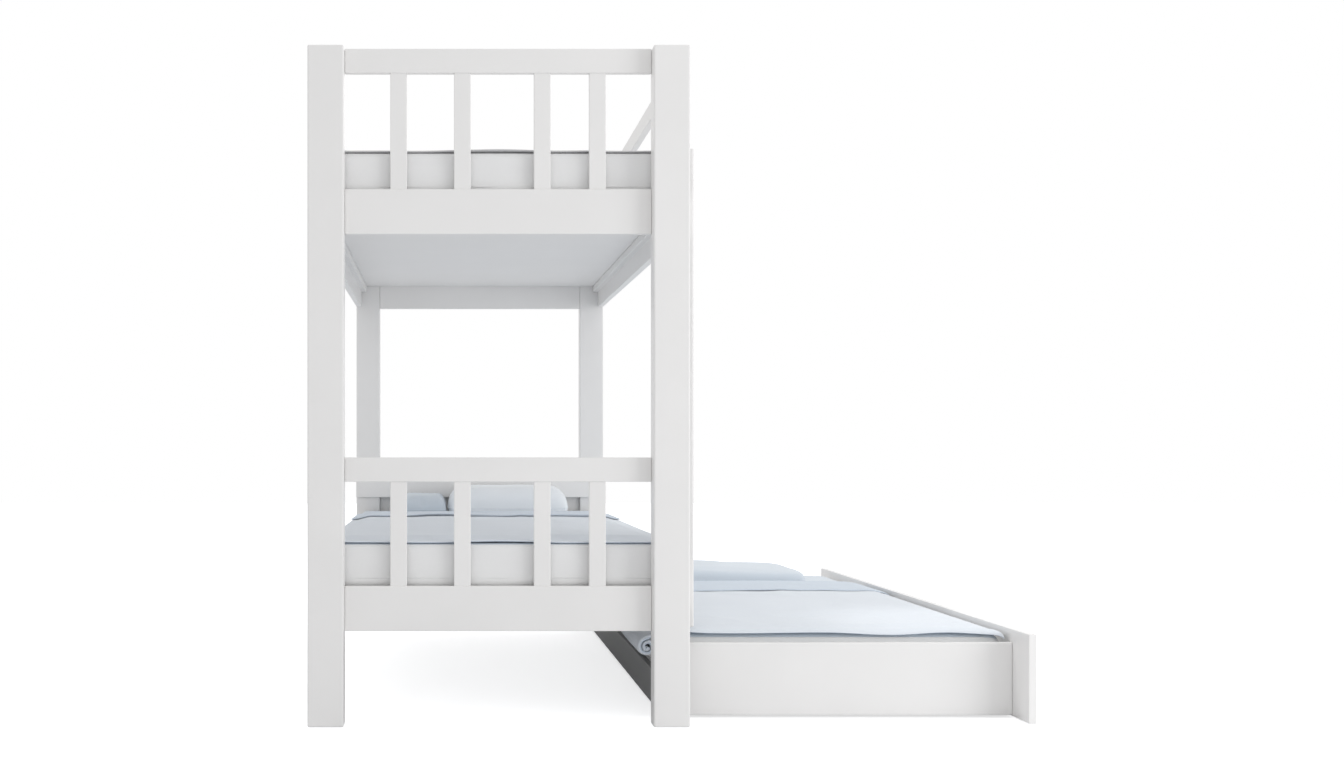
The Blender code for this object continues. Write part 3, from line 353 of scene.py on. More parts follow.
def tube_points(path, radius, sides):
    """A closed tube: a circle carried square to a closed path.

    Side is the unit vector square to the path and level, and up is square to both, so a point is
    the path's point plus radius times (cosine times side plus sine times up).
    """
    ahead = np.roll(path, -1, axis=0) - np.roll(path, 1, axis=0)
    ahead /= np.linalg.norm(ahead, axis=1, keepdims=True)
    side = np.cross(ahead, np.array([0.0, 0.0, 1.0]))
    side /= np.linalg.norm(side, axis=1, keepdims=True)
    up = np.cross(side, ahead)
    turn = np.linspace(0, math.tau, sides, endpoint=False)[None, :, None]
    circle = np.cos(turn) * side[:, None, :] + np.sin(turn) * up[:, None, :]
    return path[:, None, :] + radius * circle


def rounded_rectangle(low, high, radius, step):
    """Points a step apart round a rectangle with round corners, counter-clockwise from above."""
    turns = np.linspace(0, math.pi / 2, 8)
    corners = []
    for x, y, start in ((high[0] - radius, high[1] - radius, 0.0),
                        (low[0] + radius, high[1] - radius, 0.5),
                        (low[0] + radius, low[1] + radius, 1.0),
                        (high[0] - radius, low[1] + radius, 1.5)):
        angle = turns + start * math.pi
        corners.append(np.stack([x + radius * np.cos(angle), y + radius * np.sin(angle)], -1))
    joined = []
    for here, after in zip(corners, corners[1:] + corners[:1]):
        run = np.linalg.norm(after[0] - here[-1])
        count = max(2, int(run / step))
        share = np.linspace(0, 1, count + 1)[1:-1, None]
        joined += [here, here[-1] + share * (after[0] - here[-1])]
    return np.concatenate(joined)


# Materials


def add_node(tree, kind, settings, links=()):
    """Add a node, set its properties and unlinked inputs by name, and link its inputs."""
    node = tree.nodes.new(kind)
    for name, value in settings.items():
        if isinstance(name, str) and hasattr(node, name):
            setattr(node, name, value)
        else:
            node.inputs[name].default_value = value
    for name, socket in dict(links).items():
        tree.links.new(socket, node.inputs[name])
    return node


def new_material(name, settings, view_colour):
    """A material with one shader node, its node tree, and the Object coordinates to draw in."""
    material = bpy.data.materials.new(name)
    material.use_nodes = True
    material.diffuse_color = (*view_colour, 1.0)
    tree = material.node_tree
    tree.nodes.clear()
    shader = add_node(tree, "ShaderNodeBsdfPrincipled", settings)
    output = add_node(tree, "ShaderNodeOutputMaterial", {})
    tree.links.new(shader.outputs["BSDF"], output.inputs["Surface"])
    place = add_node(tree, "ShaderNodeTexCoord", {}).outputs["Object"]
    return material, tree, shader, place


def rgba(colour):
    """A linear colour with full opacity, as a node's colour input takes it."""
    return (*colour, 1.0)


def sprayed_coat(name, grain, coat, thin_coat, shine):
    """A sprayed coat on planed pine, the wood's grain along one axis.

    The eye sees an even soft shine, a faint orange peel of about 3 mm, and the wood's grain just
    telegraphing through along the board. Grain is the scale of the wood's pattern on X, Y and Z,
    and shine is the roughness where the coat is thin and where it is thick.
    """
    material, tree, shader, place = new_material(name, {
        "Metallic": 0.0, "IOR": 1.5, "Coat Weight": 0.12, "Coat Roughness": 0.22,
    }, coat)
    # Grain lines 4 mm apart, drawn 40 times longer than they are wide
    stretched = add_node(tree, "ShaderNodeMapping", {"Scale": grain}, {"Vector": place})
    lines = add_node(tree, "ShaderNodeTexNoise",
                     {"Scale": 1 / (4 * MM), "Detail": 3.0, "Roughness": 0.6},
                     {"Vector": stretched.outputs["Vector"]})
    # Orange peel of 3 mm
    peel = add_node(tree, "ShaderNodeTexNoise",
                    {"Scale": 1 / (3 * MM), "Detail": 1.0}, {"Vector": place})
    # Clouds of 180 mm where the coat is a little thicker or thinner
    cloud = add_node(tree, "ShaderNodeTexNoise",
                     {"Scale": 1 / (180 * MM), "Detail": 2.0, "Roughness": 0.5}, {"Vector": place})
    tone = add_node(tree, "ShaderNodeMix",
                    {"data_type": "RGBA", 6: rgba(thin_coat), 7: rgba(coat)},
                    {0: cloud.outputs["Fac"]})
    tree.links.new(tone.outputs[2], shader.inputs["Base Color"])
    rough = add_node(tree, "ShaderNodeMapRange", {"To Min": shine[0], "To Max": shine[1]},
                     {"Value": cloud.outputs["Fac"]})
    tree.links.new(rough.outputs["Result"], shader.inputs["Roughness"])
    peel_bump = add_node(tree, "ShaderNodeBump", {"Strength": 0.25, "Distance": 0.03 * MM},
                         {"Height": peel.outputs["Fac"]})
    grain_bump = add_node(tree, "ShaderNodeBump", {"Strength": 0.3, "Distance": 0.06 * MM},
                          {"Height": lines.outputs["Fac"], "Normal": peel_bump.outputs["Normal"]})
    tree.links.new(grain_bump.outputs["Normal"], shader.inputs["Normal"])
    return material


def white_lacquer(name, grain):
    """White satin lacquer: even, softly shining and very slightly cloudy."""
    colours = bpy.context.scene.bunk_bed_colours
    return sprayed_coat(name, grain, tuple(colours.lacquer), tuple(colours.lacquer_shade),
                        SATIN_SHINE)


def painted_shade_coat(name, grain):
    """A matt grey coat, painted shade for the shade that a board lies in out of sight under the
    bed.
    """
    painted_shade_grey = tuple(bpy.context.scene.bunk_bed_colours.painted_shade_grey)
    # A tenth darker where it lies thin
    thin_painted_shade_grey = tuple(c * 0.9 for c in painted_shade_grey)
    return sprayed_coat(name, grain, painted_shade_grey, thin_painted_shade_grey, MATT_SHINE)


def bright_zinc(name):
    """Mild steel, pressed and bright zinc plated: a cool grey shine with a fine cloudy grain."""
    colours = bpy.context.scene.bunk_bed_colours
    material, tree, shader, place = new_material(name, {
        "Base Color": rgba(colours.zinc), "Metallic": 1.0,
    }, colours.zinc)
    # Plating crystals of 1.5 mm
    crystals = add_node(tree, "ShaderNodeTexVoronoi", {"Scale": 1 / (1.5 * MM)}, {"Vector": place})
    shine = add_node(tree, "ShaderNodeMapRange", {"To Min": 0.26, "To Max": 0.42},
                     {"Value": crystals.outputs["Distance"]})
    tree.links.new(shine.outputs["Result"], shader.inputs["Roughness"])
    bump = add_node(tree, "ShaderNodeBump", {"Strength": 0.2, "Distance": 0.03 * MM},
                    {"Height": crystals.outputs["Distance"]})
    tree.links.new(bump.outputs["Normal"], shader.inputs["Normal"])
    return material


def wheel_plastic(name, centre, hub_radius):
    """A moulded wheel: a smooth pale nylon centre and a matt grey thermoplastic rubber tread."""
    colours = bpy.context.scene.bunk_bed_colours
    material, tree, shader, place = new_material(
        name, {"Metallic": 0.0, "IOR": 1.52}, colours.tread)
    # Distance from the axle, and a sharp step from the centre to the tread
    local = add_node(tree, "ShaderNodeMapping",
                     {"Location": (-centre[0], 0.0, -centre[2]), "Scale": (1.0, 0.0, 1.0)},
                     {"Vector": place})
    radius = add_node(tree, "ShaderNodeVectorMath", {"operation": "LENGTH"},
                      {0: local.outputs["Vector"]})
    in_tread = add_node(tree, "ShaderNodeMapRange",
                        {"From Min": hub_radius, "From Max": hub_radius + 0.2 * MM},
                        {"Value": radius.outputs["Value"]})
    # Moulded skin with a texture of 0.8 mm
    skin = add_node(tree, "ShaderNodeTexNoise", {"Scale": 1 / (0.8 * MM), "Detail": 2.0},
                    {"Vector": place})
    tone = add_node(tree, "ShaderNodeMix",
                    {"data_type": "RGBA", 6: rgba(colours.hub), 7: rgba(colours.tread)},
                    {0: in_tread.outputs["Result"]})
    tree.links.new(tone.outputs[2], shader.inputs["Base Color"])
    rough = add_node(tree, "ShaderNodeMapRange", {"To Min": 0.42, "To Max": 0.72},
                     {"Value": in_tread.outputs["Result"]})
    tree.links.new(rough.outputs["Result"], shader.inputs["Roughness"])
    bump = add_node(tree, "ShaderNodeBump", {"Strength": 0.3, "Distance": 0.05 * MM},
                    {"Height": skin.outputs["Fac"]})
    tree.links.new(bump.outputs["Normal"], shader.inputs["Normal"])
    return material


def woven_cloth(name, colour, pitch, shade_share=0.96, sheen=0.25, wrinkle_depth=1.2 * MM):
    """Plain woven cotton: matt, with a thread grid, a little sheen and fine handling creases.

    The threads are drawn at four times the real spacing so that the weave shows in the render.
    Shade share is how dark the thinner yarn is beside the thicker.
    """
    colour = tuple(colour)
    material, tree, shader, place = new_material(name, {
        "Metallic": 0.0, "IOR": 1.46, "Roughness": 0.86,
        "Sheen Weight": sheen, "Sheen Roughness": 0.5,
    }, colour)
    # A wave texture at scale 1 repeats 20 times in a length of tau
    threads = []
    for direction in ("X", "Y"):
        threads.append(add_node(tree, "ShaderNodeTexWave", {
            "wave_type": "BANDS", "bands_direction": direction, "wave_profile": "SIN",
            "Scale": math.tau / (20 * pitch), "Distortion": 0.4, "Detail": 1.0,
            "Detail Scale": 2.0}, {"Vector": place}))
    weave = add_node(tree, "ShaderNodeMath", {"operation": "MULTIPLY"},
                     {0: threads[0].outputs["Fac"], 1: threads[1].outputs["Fac"]})
    # Uneven yarn, in patches of 8 mm
    yarn = add_node(tree, "ShaderNodeTexNoise",
                    {"Scale": 1 / (8 * MM), "Detail": 4.0, "Roughness": 0.65}, {"Vector": place})
    darker = tuple(c * shade_share for c in colour)
    tone = add_node(tree, "ShaderNodeMix",
                    {"data_type": "RGBA", 6: rgba(darker), 7: rgba(colour)},
                    {0: yarn.outputs["Fac"]})
    tree.links.new(tone.outputs[2], shader.inputs["Base Color"])
    # Handling creases 45 mm apart
    creases = add_node(tree, "ShaderNodeTexNoise", {
        "Scale": 1 / (45 * MM), "Detail": 5.0, "Roughness": 0.55, "Distortion": 0.8},
        {"Vector": place})
    crease_bump = add_node(tree, "ShaderNodeBump", {"Strength": 0.5, "Distance": wrinkle_depth},
                           {"Height": creases.outputs["Fac"]})
    weave_bump = add_node(tree, "ShaderNodeBump", {"Strength": 0.35, "Distance": 0.15 * MM}, {
        "Height": weave.outputs["Value"], "Normal": crease_bump.outputs["Normal"]})
    tree.links.new(weave_bump.outputs["Normal"], shader.inputs["Normal"])
    return material


# Bedding shapes


def press_soft(piece, pressure, frames, cap):
    """Blow a piece up a little as cloth under pressure, each point by no more than cap."""
    start = mesh_points(piece)
    scene = bpy.context.scene
    cloth = piece.modifiers.new("cloth", "CLOTH")
    settings = cloth.settings
    settings.quality = 4
    settings.mass = 0.3
    settings.tension_stiffness = 12
    settings.compression_stiffness = 8
    settings.shear_stiffness = 6
    settings.bending_stiffness = 2.0
    settings.air_damping = 1.5
    settings.use_pressure = True
    settings.uniform_pressure_force = pressure
    settings.effector_weights.gravity = 0.0
    cloth.collision_settings.use_collision = False
    cloth.point_cache.frame_start = 1
    cloth.point_cache.frame_end = frames
    for number in range(1, frames + 1):
        scene.frame_set(number)
    shaped = piece.evaluated_get(bpy.context.evaluated_depsgraph_get())
    moved = mesh_points(shaped) - start
    piece.modifiers.remove(cloth)
    scene.frame_set(1)
    reach = np.linalg.norm(moved, axis=1, keepdims=True)
    moved *= np.minimum(1.0, cap / np.maximum(reach, 1e-9))
    set_mesh_points(piece, start + moved)


def mesh_points(piece):
    """The places of a piece's points, one row each."""
    points = np.empty(len(piece.data.vertices) * 3)
    piece.data.vertices.foreach_get("co", points)
    return points.reshape(-1, 3)


def set_mesh_points(piece, points):
    """Move a piece's points to new places."""
    piece.data.vertices.foreach_set("co", points.ravel())
    piece.data.update()


def finish_soft(piece, body, node):
    """Attach a padded piece to its body and hide the solid that it stands for."""
    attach(piece, body)
    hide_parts(node)


def two_sheets(rows, columns):
    """Corner numbers of the faces of an upper and a lower grid that share their rims.

    The upper grid is numbered row by row. The lower one keeps the rim's numbers and continues the
    count for its own inner points. Each grid's four corner cells are cut in two from the corner
    inward, so that no face of either lies wholly on the rim.
    """
    upper = np.arange(rows * columns).reshape(rows, columns)
    lower = upper.copy()
    inner = (rows - 2) * (columns - 2)
    lower[1:-1, 1:-1] = rows * columns + np.arange(inner).reshape(rows - 2, columns - 2)
    faces = []
    for index in (upper, lower):
        cells = cells_between(index)
        whole = np.ones(cells.shape[:2], bool)
        for row, column, start in ((0, 0, 0), (-1, -1, 0), (0, -1, 1), (-1, 0, 1)):
            whole[row, column] = False
            cell = np.roll(cells[row, column], -start)
            faces += [cell[[0, 1, 2]].tolist(), cell[[0, 2, 3]].tolist()]
        faces += cells[whole].tolist()
    return faces


def sheets_to_points(upper, lower):
    """One array of points for two_sheets: all of the upper grid, then the lower one's inside."""
    return np.concatenate([upper.reshape(-1, 3), lower[1:-1, 1:-1].reshape(-1, 3)])


def rounded_edge(distance, reach):
    """1 well inside, falling to 0 at the rim as a quarter circle does."""
    share = np.clip(distance / reach, 0.0, 1.0)
    return np.sqrt(np.maximum(0.0, 1 - (1 - share) ** 2))


class QuiltShape:
    """How a duvet lies on a mattress: its extent, its thickness, its edges and its slipped corner.

    low and high span the mattress's top across the bed and the duvet along it. turn_back is the
    length folded back at the head, edge_radius the mattress's rounding that the edges bend round,
    and inset how far the long edges stay inside the mattress's. All lengths are in metres.
    """

    def __init__(self, low, high, turn_back, edge_radius, inset, seed):
        self.low = np.array(low)
        self.high = np.array(high)
        self.turn_back = turn_back
        self.edge_radius = edge_radius
        self.inset = inset
        self.seed = seed
        # Thickness: full, of the turned-back layer, where it hangs, and of the lip at the edges
        self.loft = 0.0165
        self.layer = 0.0085
        self.hanging_loft = 0.0095
        self.lip = 0.0042
        # How far in from an edge the thickness is full, and the round of the very rim
        self.foot_ramp = 0.085
        self.left_ramp = 0.070
        self.right_ramp = 0.070
        self.rim = 0.0035
        # The slot below the foot edge: height, wave, more height in the middle, and depth
        self.slot = 0.0011
        self.slot_wave = 0.5
        self.slot_middle = 0.0036
        self.slot_depth = 0.022
        # Shares of the mattress's rounding by which the foot edge falls, left and right
        self.foot_droop = (0.0, 0.0)
        # The turn at the head, the gap between the layers, and how far the hem lifts
        self.fold_radius = 0.0058
        self.layer_gap = 0.0014
        self.hem_lift = 0.0075
        # How far the foot's left corner has slipped over the edge, and along how much of it
        self.slip = 0.0
        self.slip_length = 1.0
        self.slip_fade = 1.0

    def left_over(self, y):
        """How far the duvet reaches beyond the mattress's left edge at each place along the bed."""
        share = smoothstep(self.slip_length, self.slip_length + self.slip_fade, y - self.low[1])
        return self.slip * (1 - share) - self.inset


def quilt_stops(shape, total, flat, turn):
    """Rows of points as lengths along a duvet from its foot edge, and columns as shares across.

    They are a step apart, and closer by the foot edge, under the hem, round the turn, at the hem
    and by the long edges, most of all by the left one, where the corner hangs.
    """
    hem = flat - shape.turn_back
    rows = [edge_stops(0.0, total, shape.rim, DUVET_STEP),
            np.linspace(0.007, 0.08, 9),
            hem + np.linspace(-0.05, 0.02, 8),
            np.linspace(flat, flat + turn, 9),
            total - np.linspace(0.008, 0.04, 5)]
    width = shape.high[0] - shape.low[0]
    columns = [edge_stops(0.0, 1.0, shape.rim / width, DUVET_STEP / width),
               np.linspace(0.008, 0.15, 20),
               1 - np.linspace(0.008, 0.06, 6)]
    rows = np.unique(np.concatenate(rows).round(5))
    columns = np.unique(np.concatenate(columns).round(6))
    return rows[:, None], columns[None, :]


def quilt_hills(shape, a, y):
    """Long hills, short hills and creases, most of them lifting the middle of the cloth."""
    hills = np.zeros(a.shape)
    for number, (height, wavelength) in enumerate(DUVET_HILLS, shape.seed + 3):
        hills += height * smooth_field(a, y, number, wavelength)
    for number, (height, count, length, width) in enumerate(DUVET_CREASES, shape.seed + 5):
        hills += height * crease_field(a, y, number, count, shape.low, shape.high, length, width)
    return hills


def edge_waves(a, seed, height, waves):
    """Waves along an edge about a middle value, kept between their least and most."""
    wavelength, middle, least, most = waves
    return np.clip(middle + height * smooth_field(a, 0 * a, seed, wavelength), least, most)


def foot_droop(shape, a, run):
    """How far the foot edge droops over the mattress's rounded edge.

    It is a share of the quarter circle's fall, which differs on the left and on the right.
    """
    reach = np.clip(1 - run / shape.edge_radius, 0.0, DROOP_LIMIT)
    fall = shape.edge_radius * (1 - np.sqrt(1 - reach * reach))
    left, right = shape.foot_droop
    across = (a - shape.low[0]) / (shape.high[0] - shape.low[0])
    share = left + (right - left) * smoothstep(*DROOP_CHANGE, across)
    return fall * smoothstep(0.0, DROOP_START, across) * share


def quilt_surface(shape):
    """The duvet's upper and lower skins as grids.

    Along the bed the middle of its thickness runs flat to the head end, round a half circle and
    back on itself for turn_back. The skins lie half a thickness either side. The thickness grows
    from a thin lip at the foot and the long edges to the full loft by smooth ramps, and falls to
    nothing at the very rim as a quarter circle does. The foot edge and the hem lift a little, by
    a bell along the bed, which leaves the dark slot that a duvet has below its edge. The foot edge
    then droops over the mattress's own rounded edge, and the long edges bend round it.
    """
    low, high = shape.low, shape.high
    flat = high[1] - low[1] - shape.fold_radius
    turn = math.pi * shape.fold_radius
    total = flat + turn + shape.turn_back
    hem = flat - shape.turn_back
    s, u = quilt_stops(shape, total, flat, turn)

    # The path along the bed, and how far over it is turned: 0 below, 1 in the turned-back layer
    angle = np.clip((s - flat) / shape.fold_radius, 0.0, math.pi)
    over = (1 - np.cos(angle)) / 2
    back = np.maximum(0.0, s - flat - turn)
    y = low[1] + np.minimum(s, flat) + shape.fold_radius * np.sin(angle) - back
    normal_y, normal_z = np.sin(angle), np.cos(angle)
    start = low[0] - shape.left_over(y)
    end = high[0] - shape.inset
    a = start + u * (end - start)
    run = y - low[1]
    to_hem = total - s

    # Thickness of the lower and of the turned-back layer
    side = (smoothstep(0.0, shape.left_ramp, a - start)
            * smoothstep(0.0, shape.right_ramp, end - a))
    hanging = smoothstep(0.0, HANG_RAMP, low[0] + shape.edge_radius - a)
    foot = np.maximum(smoothstep(0.0, shape.foot_ramp, run), hanging)
    under_hem = smoothstep(hem + UNDER_HEM_RAMP[0], hem + UNDER_HEM_RAMP[1], run)
    full = shape.loft + (shape.layer - shape.loft) * under_hem
    full = full + (shape.hanging_loft - full) * hanging
    lip = shape.lip * (1 + HANGING_LIP * hanging)
    below = lip + (full - lip) * foot * side
    above = lip + (shape.layer - lip) * smoothstep(0.0, HEM_RAMP, to_hem) * side
    middle = below / 2 + over * (below / 2 + shape.layer_gap + above / 2)
    thick = below + over * (above - below)

    # The slot below the foot edge waves, and may open in its middle; the hem lifts unevenly
    wave = edge_waves(a, shape.seed + 7, shape.slot_wave, SLOT_WAVES)
    centre = (low[0] + high[0]) / 2
    opening = shape.slot_middle * np.exp(-((a - centre) / SLOT_MIDDLE_WIDTH) ** 2)
    opening = shape.slot * wave + opening
    middle = middle + opening * (1 - hanging) * np.exp(-(s / shape.slot_depth) ** 2)
    wave = edge_waves(a, shape.seed + 8, HEM_WAVE_HEIGHT, HEM_WAVES)
    middle = middle + shape.hem_lift * wave * side * np.exp(-(to_hem / HEM_LIFT_REACH) ** 2)
    # Both edges wander a few millimetres along the bed, the foot edge mostly inward
    for distance, seed, offset, (height, wavelength) in (
            (s, shape.seed + 1, 1.0, FOOT_WANDER), (to_hem, shape.seed + 2, 0.0, HEM_WANDER)):
        wander = height * (offset + smooth_field(a, 0 * a, seed, wavelength))
        y = y + np.exp(-distance / WANDER_REACH) * wander

    rim = np.minimum(rounded_edge(s, shape.rim), rounded_edge(to_hem, shape.rim))
    rim = rim * rounded_edge(np.minimum(a - start, end - a), shape.rim)
    droop = foot_droop(shape, a, run)
    hills = quilt_hills(shape, a, y) + HILL_LIFT
    hills = hills * (HILLS_AT_EDGES + (1 - HILLS_AT_EDGES) * side * foot)
    skins = []
    for sign in (1, -1):
        place_y = y + sign * thick / 2 * rim * normal_y
        place_z = middle + sign * thick / 2 * rim * normal_z
        height = place_z + hills * smoothstep(*HILL_CLEARANCE, place_z)
        skin = hang_over(shape, a, place_y, height)
        skin[..., 2] -= droop
        skins.append(skin)
    return skins


def rolled_path():
    """Tables of the way that a hanging edge takes, against the length along it.

    It runs outward, drooping softly, and then rolls in under itself: its slope grows by one over
    a radius that shrinks evenly, from 19 to 8 mm in the first turn and to 2 mm at the end. Its
    place is the running sum of its direction.
    """
    length = np.linspace(0.0, ROLL_TABLE_LENGTH, 1001)
    step = length[1]
    radius = np.interp(length, ROLL_LENGTHS, ROLL_RADII)
    turning = np.where(length > ROLL_START, step / radius, 0.0)
    slope = SLIP_DROOP * smoothstep(0.0, SLIP_DROOP_LENGTH, length) + np.cumsum(turning)
    outward = np.cumsum(np.cos(slope)) * step - step
    drop = np.cumsum(np.sin(slope)) * step
    return length, outward, drop, slope


def hang_over(shape, a, y, height):
    """Bend what nears the mattress's long edges down round its rounded edge by a quarter circle.

    Where the corner has slipped over the left edge, it takes the rolled path there instead.
    """
    low, high, radius = shape.low, shape.high, shape.edge_radius
    result = np.stack([a, y, low[2] + height], -1)
    for edge, side in ((low[0] + radius, -1), (high[0] - radius, 1)):
        beyond = (a - edge) * side
        if side < 0 and shape.slip > 0:
            length, outward, drop, slope = rolled_path()
            slope = np.interp(beyond, length, slope)
            across = np.interp(beyond, length, outward)
            fall = np.interp(beyond, length, drop)
            reach = height
        else:
            slope = np.clip(beyond / radius, 0.0, math.pi / 2)
            across = 0 * beyond
            fall = radius + np.maximum(0.0, beyond - radius * math.pi / 2)
            reach = radius + height
        bent = np.stack([edge + side * (across + reach * np.sin(slope)), y,
                         low[2] - fall + reach * np.cos(slope)], -1)
        result = np.where((beyond > 0)[..., None], bent, result)
    return result


def make_duvet(name, node, body, shape, material, lining):
    """A duvet from its two skins, the upper one in its cloth and the lower one in its lining."""
    upper, lower = quilt_surface(shape)
    faces = two_sheets(*upper.shape[:2])
    piece = make_mesh_piece(name, sheets_to_points(upper, lower), faces, material, level=1,
                            other=lining, other_from=len(faces) // 2)
    finish_soft(piece, body, node)


def make_pillow(name, node, body, material, seed, trim=(0.0, 0.0), slope=0.0, power=6,
                columns=46, rows=36):
    """A pillow sewn from two flat rectangles, blown up as cloth, then settled on what carries it.

    Before it is blown up, each skin stands off the seam's plane by a dome, the root of one minus
    a high power of the two shares, so that it is full up to near its seam. Trim takes a length
    off its left and right ends, and slope is the share of its height that it loses towards the
    right, by a power of the way along it.
    """
    low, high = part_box(node)
    low, high = np.array(low), np.array(high)
    low[0] += trim[0]
    high[0] -= trim[1]
    size = high - low
    u = np.sin(np.linspace(-1, 1, columns) * math.pi / 2)[None, :]
    v = np.sin(np.linspace(-1, 1, rows) * math.pi / 2)[:, None]
    x = size[0] / 2 * u * (1 - PILLOW_WAIST * v ** 6)
    y = size[1] / 2 * v * (1 - PILLOW_WAIST * u ** 6)
    crown = 1 - PILLOW_CROWN / power * (u * u + v * v) / 2
    dome = np.sqrt((1 - u ** power) * (1 - v ** power)) * crown
    ripple = PILLOW_RIPPLE * smooth_field(x, y, seed, PILLOW_RIPPLE_LENGTH) * dome
    skins = [np.stack([x, y, sign * PILLOW_SKIN_SHARE * size[2] * dome + ripple], -1)
             for sign in (1, -1)]
    piece = make_mesh_piece(name, sheets_to_points(*skins), two_sheets(rows, columns), material)
    press_soft(piece, pressure=4.0, frames=20, cap=8 * MM)
    points = mesh_points(piece)
    settle(points, low, high)
    along = (points[:, 0] - low[0]) / size[0]
    points[:, 2] = low[2] + (points[:, 2] - low[2]) * (1 - slope * along ** PILLOW_SLOPE_POWER)
    set_mesh_points(piece, points)
    make_finer(piece, 1)
    finish_soft(piece, body, node)
    add_seam(piece, body, rows, columns, material)


def settle(points, low, high):
    """Scale a blown-up form to its box and press its underside flat where it rests.

    A height share below a third goes softly to the floor of the box, so the underside is flat in
    the middle and rises to the seam at the rim.
    """
    lowest, highest = points.min(0), points.max(0)
    share = (points - lowest) / (highest - lowest)
    sunk = share[:, 2] - SINK_SHARE
    pressed = SINK_SOFTNESS * np.exp((sunk - SINK_SOFTNESS) / SINK_SOFTNESS)
    height = np.where(sunk > SINK_SOFTNESS, sunk, pressed)
    share[:, 2] = (height - height.min()) / (height.max() - height.min())
    points[:] = low + share * (high - low)


def add_seam(piece, body, rows, columns, material):
    """A corded seam round a pillow's rim: a thin tube that follows the rim's own points."""
    points = mesh_points(piece)[:rows * columns].reshape(rows, columns, 3)
    rim = np.concatenate([points[0, :-1], points[:-1, -1], points[-1, :0:-1], points[:0:-1, 0]])
    radius = bpy.context.scene.bunk_bed_sizes.seam_radius
    add_cord(f"{piece.name}_seam", rim, radius, material, body, sides=6, level=1)


def add_cord(name, path, radius, material, body, sides, level=0):
    """A seam or tape: a thin tube along a closed path, which rides with what it is sewn to."""
    tube = tube_points(path, radius, sides)
    faces = grid_quads(len(path), sides, close_rows=True, close_columns=True)
    cord = make_mesh_piece(name, tube, faces, material, level=level)
    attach(cord, body)


def mattress_surface(low, high, radius, sizes, seed):
    """A mattress's skin on the six grids of a box, its top last.

    Each grid point is moved onto the box with round edges, then the sides swell by a sine over
    their height, and the top is drawn in along a diamond grid of quilting lines.
    """
    steps = (MATTRESS_STEP, MATTRESS_STEP, MATTRESS_SIDE_STEP)
    stops = [edge_stops(low[i], high[i], radius, steps[i]) for i in range(3)]
    grids, faces, first = [], [], 0
    for axis in range(3):
        others = [i for i in range(3) if i != axis]
        for level in (low[axis], high[axis]):
            a, b = np.meshgrid(*(stops[i] for i in others), indexing="ij")
            points = np.empty(a.shape + (3,))
            points[..., others[0]] = a
            points[..., others[1]] = b
            points[..., axis] = level
            grids.append(points.reshape(-1, 3))
            top_from = len(faces)
            faces += grid_quads(*a.shape, first=first)
            first += a.size
    points = np.concatenate(grids)
    core = np.clip(points, low + radius, high - radius)
    outward = points - core
    outward = outward / np.maximum(np.linalg.norm(outward, axis=1, keepdims=True), 1e-9)
    points = core + radius * outward
    height = (points[:, 2] - low[2]) / (high[2] - low[2])
    sideways = 1 - np.abs(outward[:, 2])
    belly = np.sin(math.pi * np.clip(height, 0, 1)) * MATTRESS_BELLY
    ripple = MATTRESS_RIPPLE * smooth_field(points[:, 0] + points[:, 1], points[:, 2] * 2, seed,
                                            MATTRESS_RIPPLE_LENGTH)
    points[:, :2] += outward[:, :2] * (sideways * (belly + ripple))[:, None]
    # Quilting: two families of lines at 45 degrees, each a narrow bell-shaped valley
    pitch = sizes.quilt_pitch
    valley = np.zeros(len(points))
    for family in (points[:, 0] + points[:, 1], points[:, 0] - points[:, 1]):
        off_line = (family / pitch - np.round(family / pitch)) * pitch
        valley = np.maximum(valley, np.exp(-(off_line / QUILTING_WIDTH) ** 2))
    inside = np.minimum.reduce([points[:, 0] - low[0], high[0] - points[:, 0],
                                points[:, 1] - low[1], high[1] - points[:, 1]])
    drawn_in = valley * sizes.quilt_depth * smoothstep(*QUILTING_FADE, inside)
    points[:, 2] -= np.where(outward[:, 2] > 0.5, drawn_in, 0.0)
    return points, faces, top_from


def make_mattress(node, body, radius, ticking, sheet, tape, seed):
    """A mattress in its ticking, with a fitted sheet on top and a tape round either edge."""
    sizes = bpy.context.scene.bunk_bed_sizes
    low, high = (np.array(corner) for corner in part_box(node))
    name = node.replace("_mattress", "_bed_mattress")
    inset = np.array([MATTRESS_INSET, MATTRESS_INSET, 0.0])
    points, faces, top_from = mattress_surface(low + inset, high - inset, radius, sizes, seed)
    # Only the top face takes the sheet's material; on the lower and trundle mattresses its blue is
    # partly painted shade
    piece = make_mesh_piece(name, points, faces, ticking, other=sheet, other_from=top_from)
    finish_soft(piece, body, node)
    # Each tape lies half sunk in the side, the upper one where the edge's round begins to close
    sunk = radius - math.sqrt(radius ** 2 - ((1 - TAPE_DROP) * radius) ** 2)
    for place, height, draw in (("top", high[2] - TAPE_DROP * radius, sunk),
                                ("bottom", low[2] + sizes.tape_rise, 0.0)):
        path = rounded_rectangle(low + inset + draw, high - inset - draw, radius + TAPE_CORNER,
                                 TAPE_STEP)
        path = np.column_stack([path, np.full(len(path), height)])
        add_cord(f"{name}_tape_{place}", path, sizes.tape_radius, tape, body,
                 sides=8)


# The stage, and paint on the solids


def white_rays(tree, glossy_too):
    """1 for the rays that see plain white: the camera's, and mirrored or bent ones where asked."""
    rays = add_node(tree, "ShaderNodeLightPath", {})
    seen = rays.outputs["Is Camera Ray"]
    for kind in ("Is Glossy Ray", "Is Transmission Ray") if glossy_too else ():
        seen = add_node(tree, "ShaderNodeMath", {"operation": "MAXIMUM"},
                        {0: seen, 1: rays.outputs[kind]}).outputs[0]
    return seen


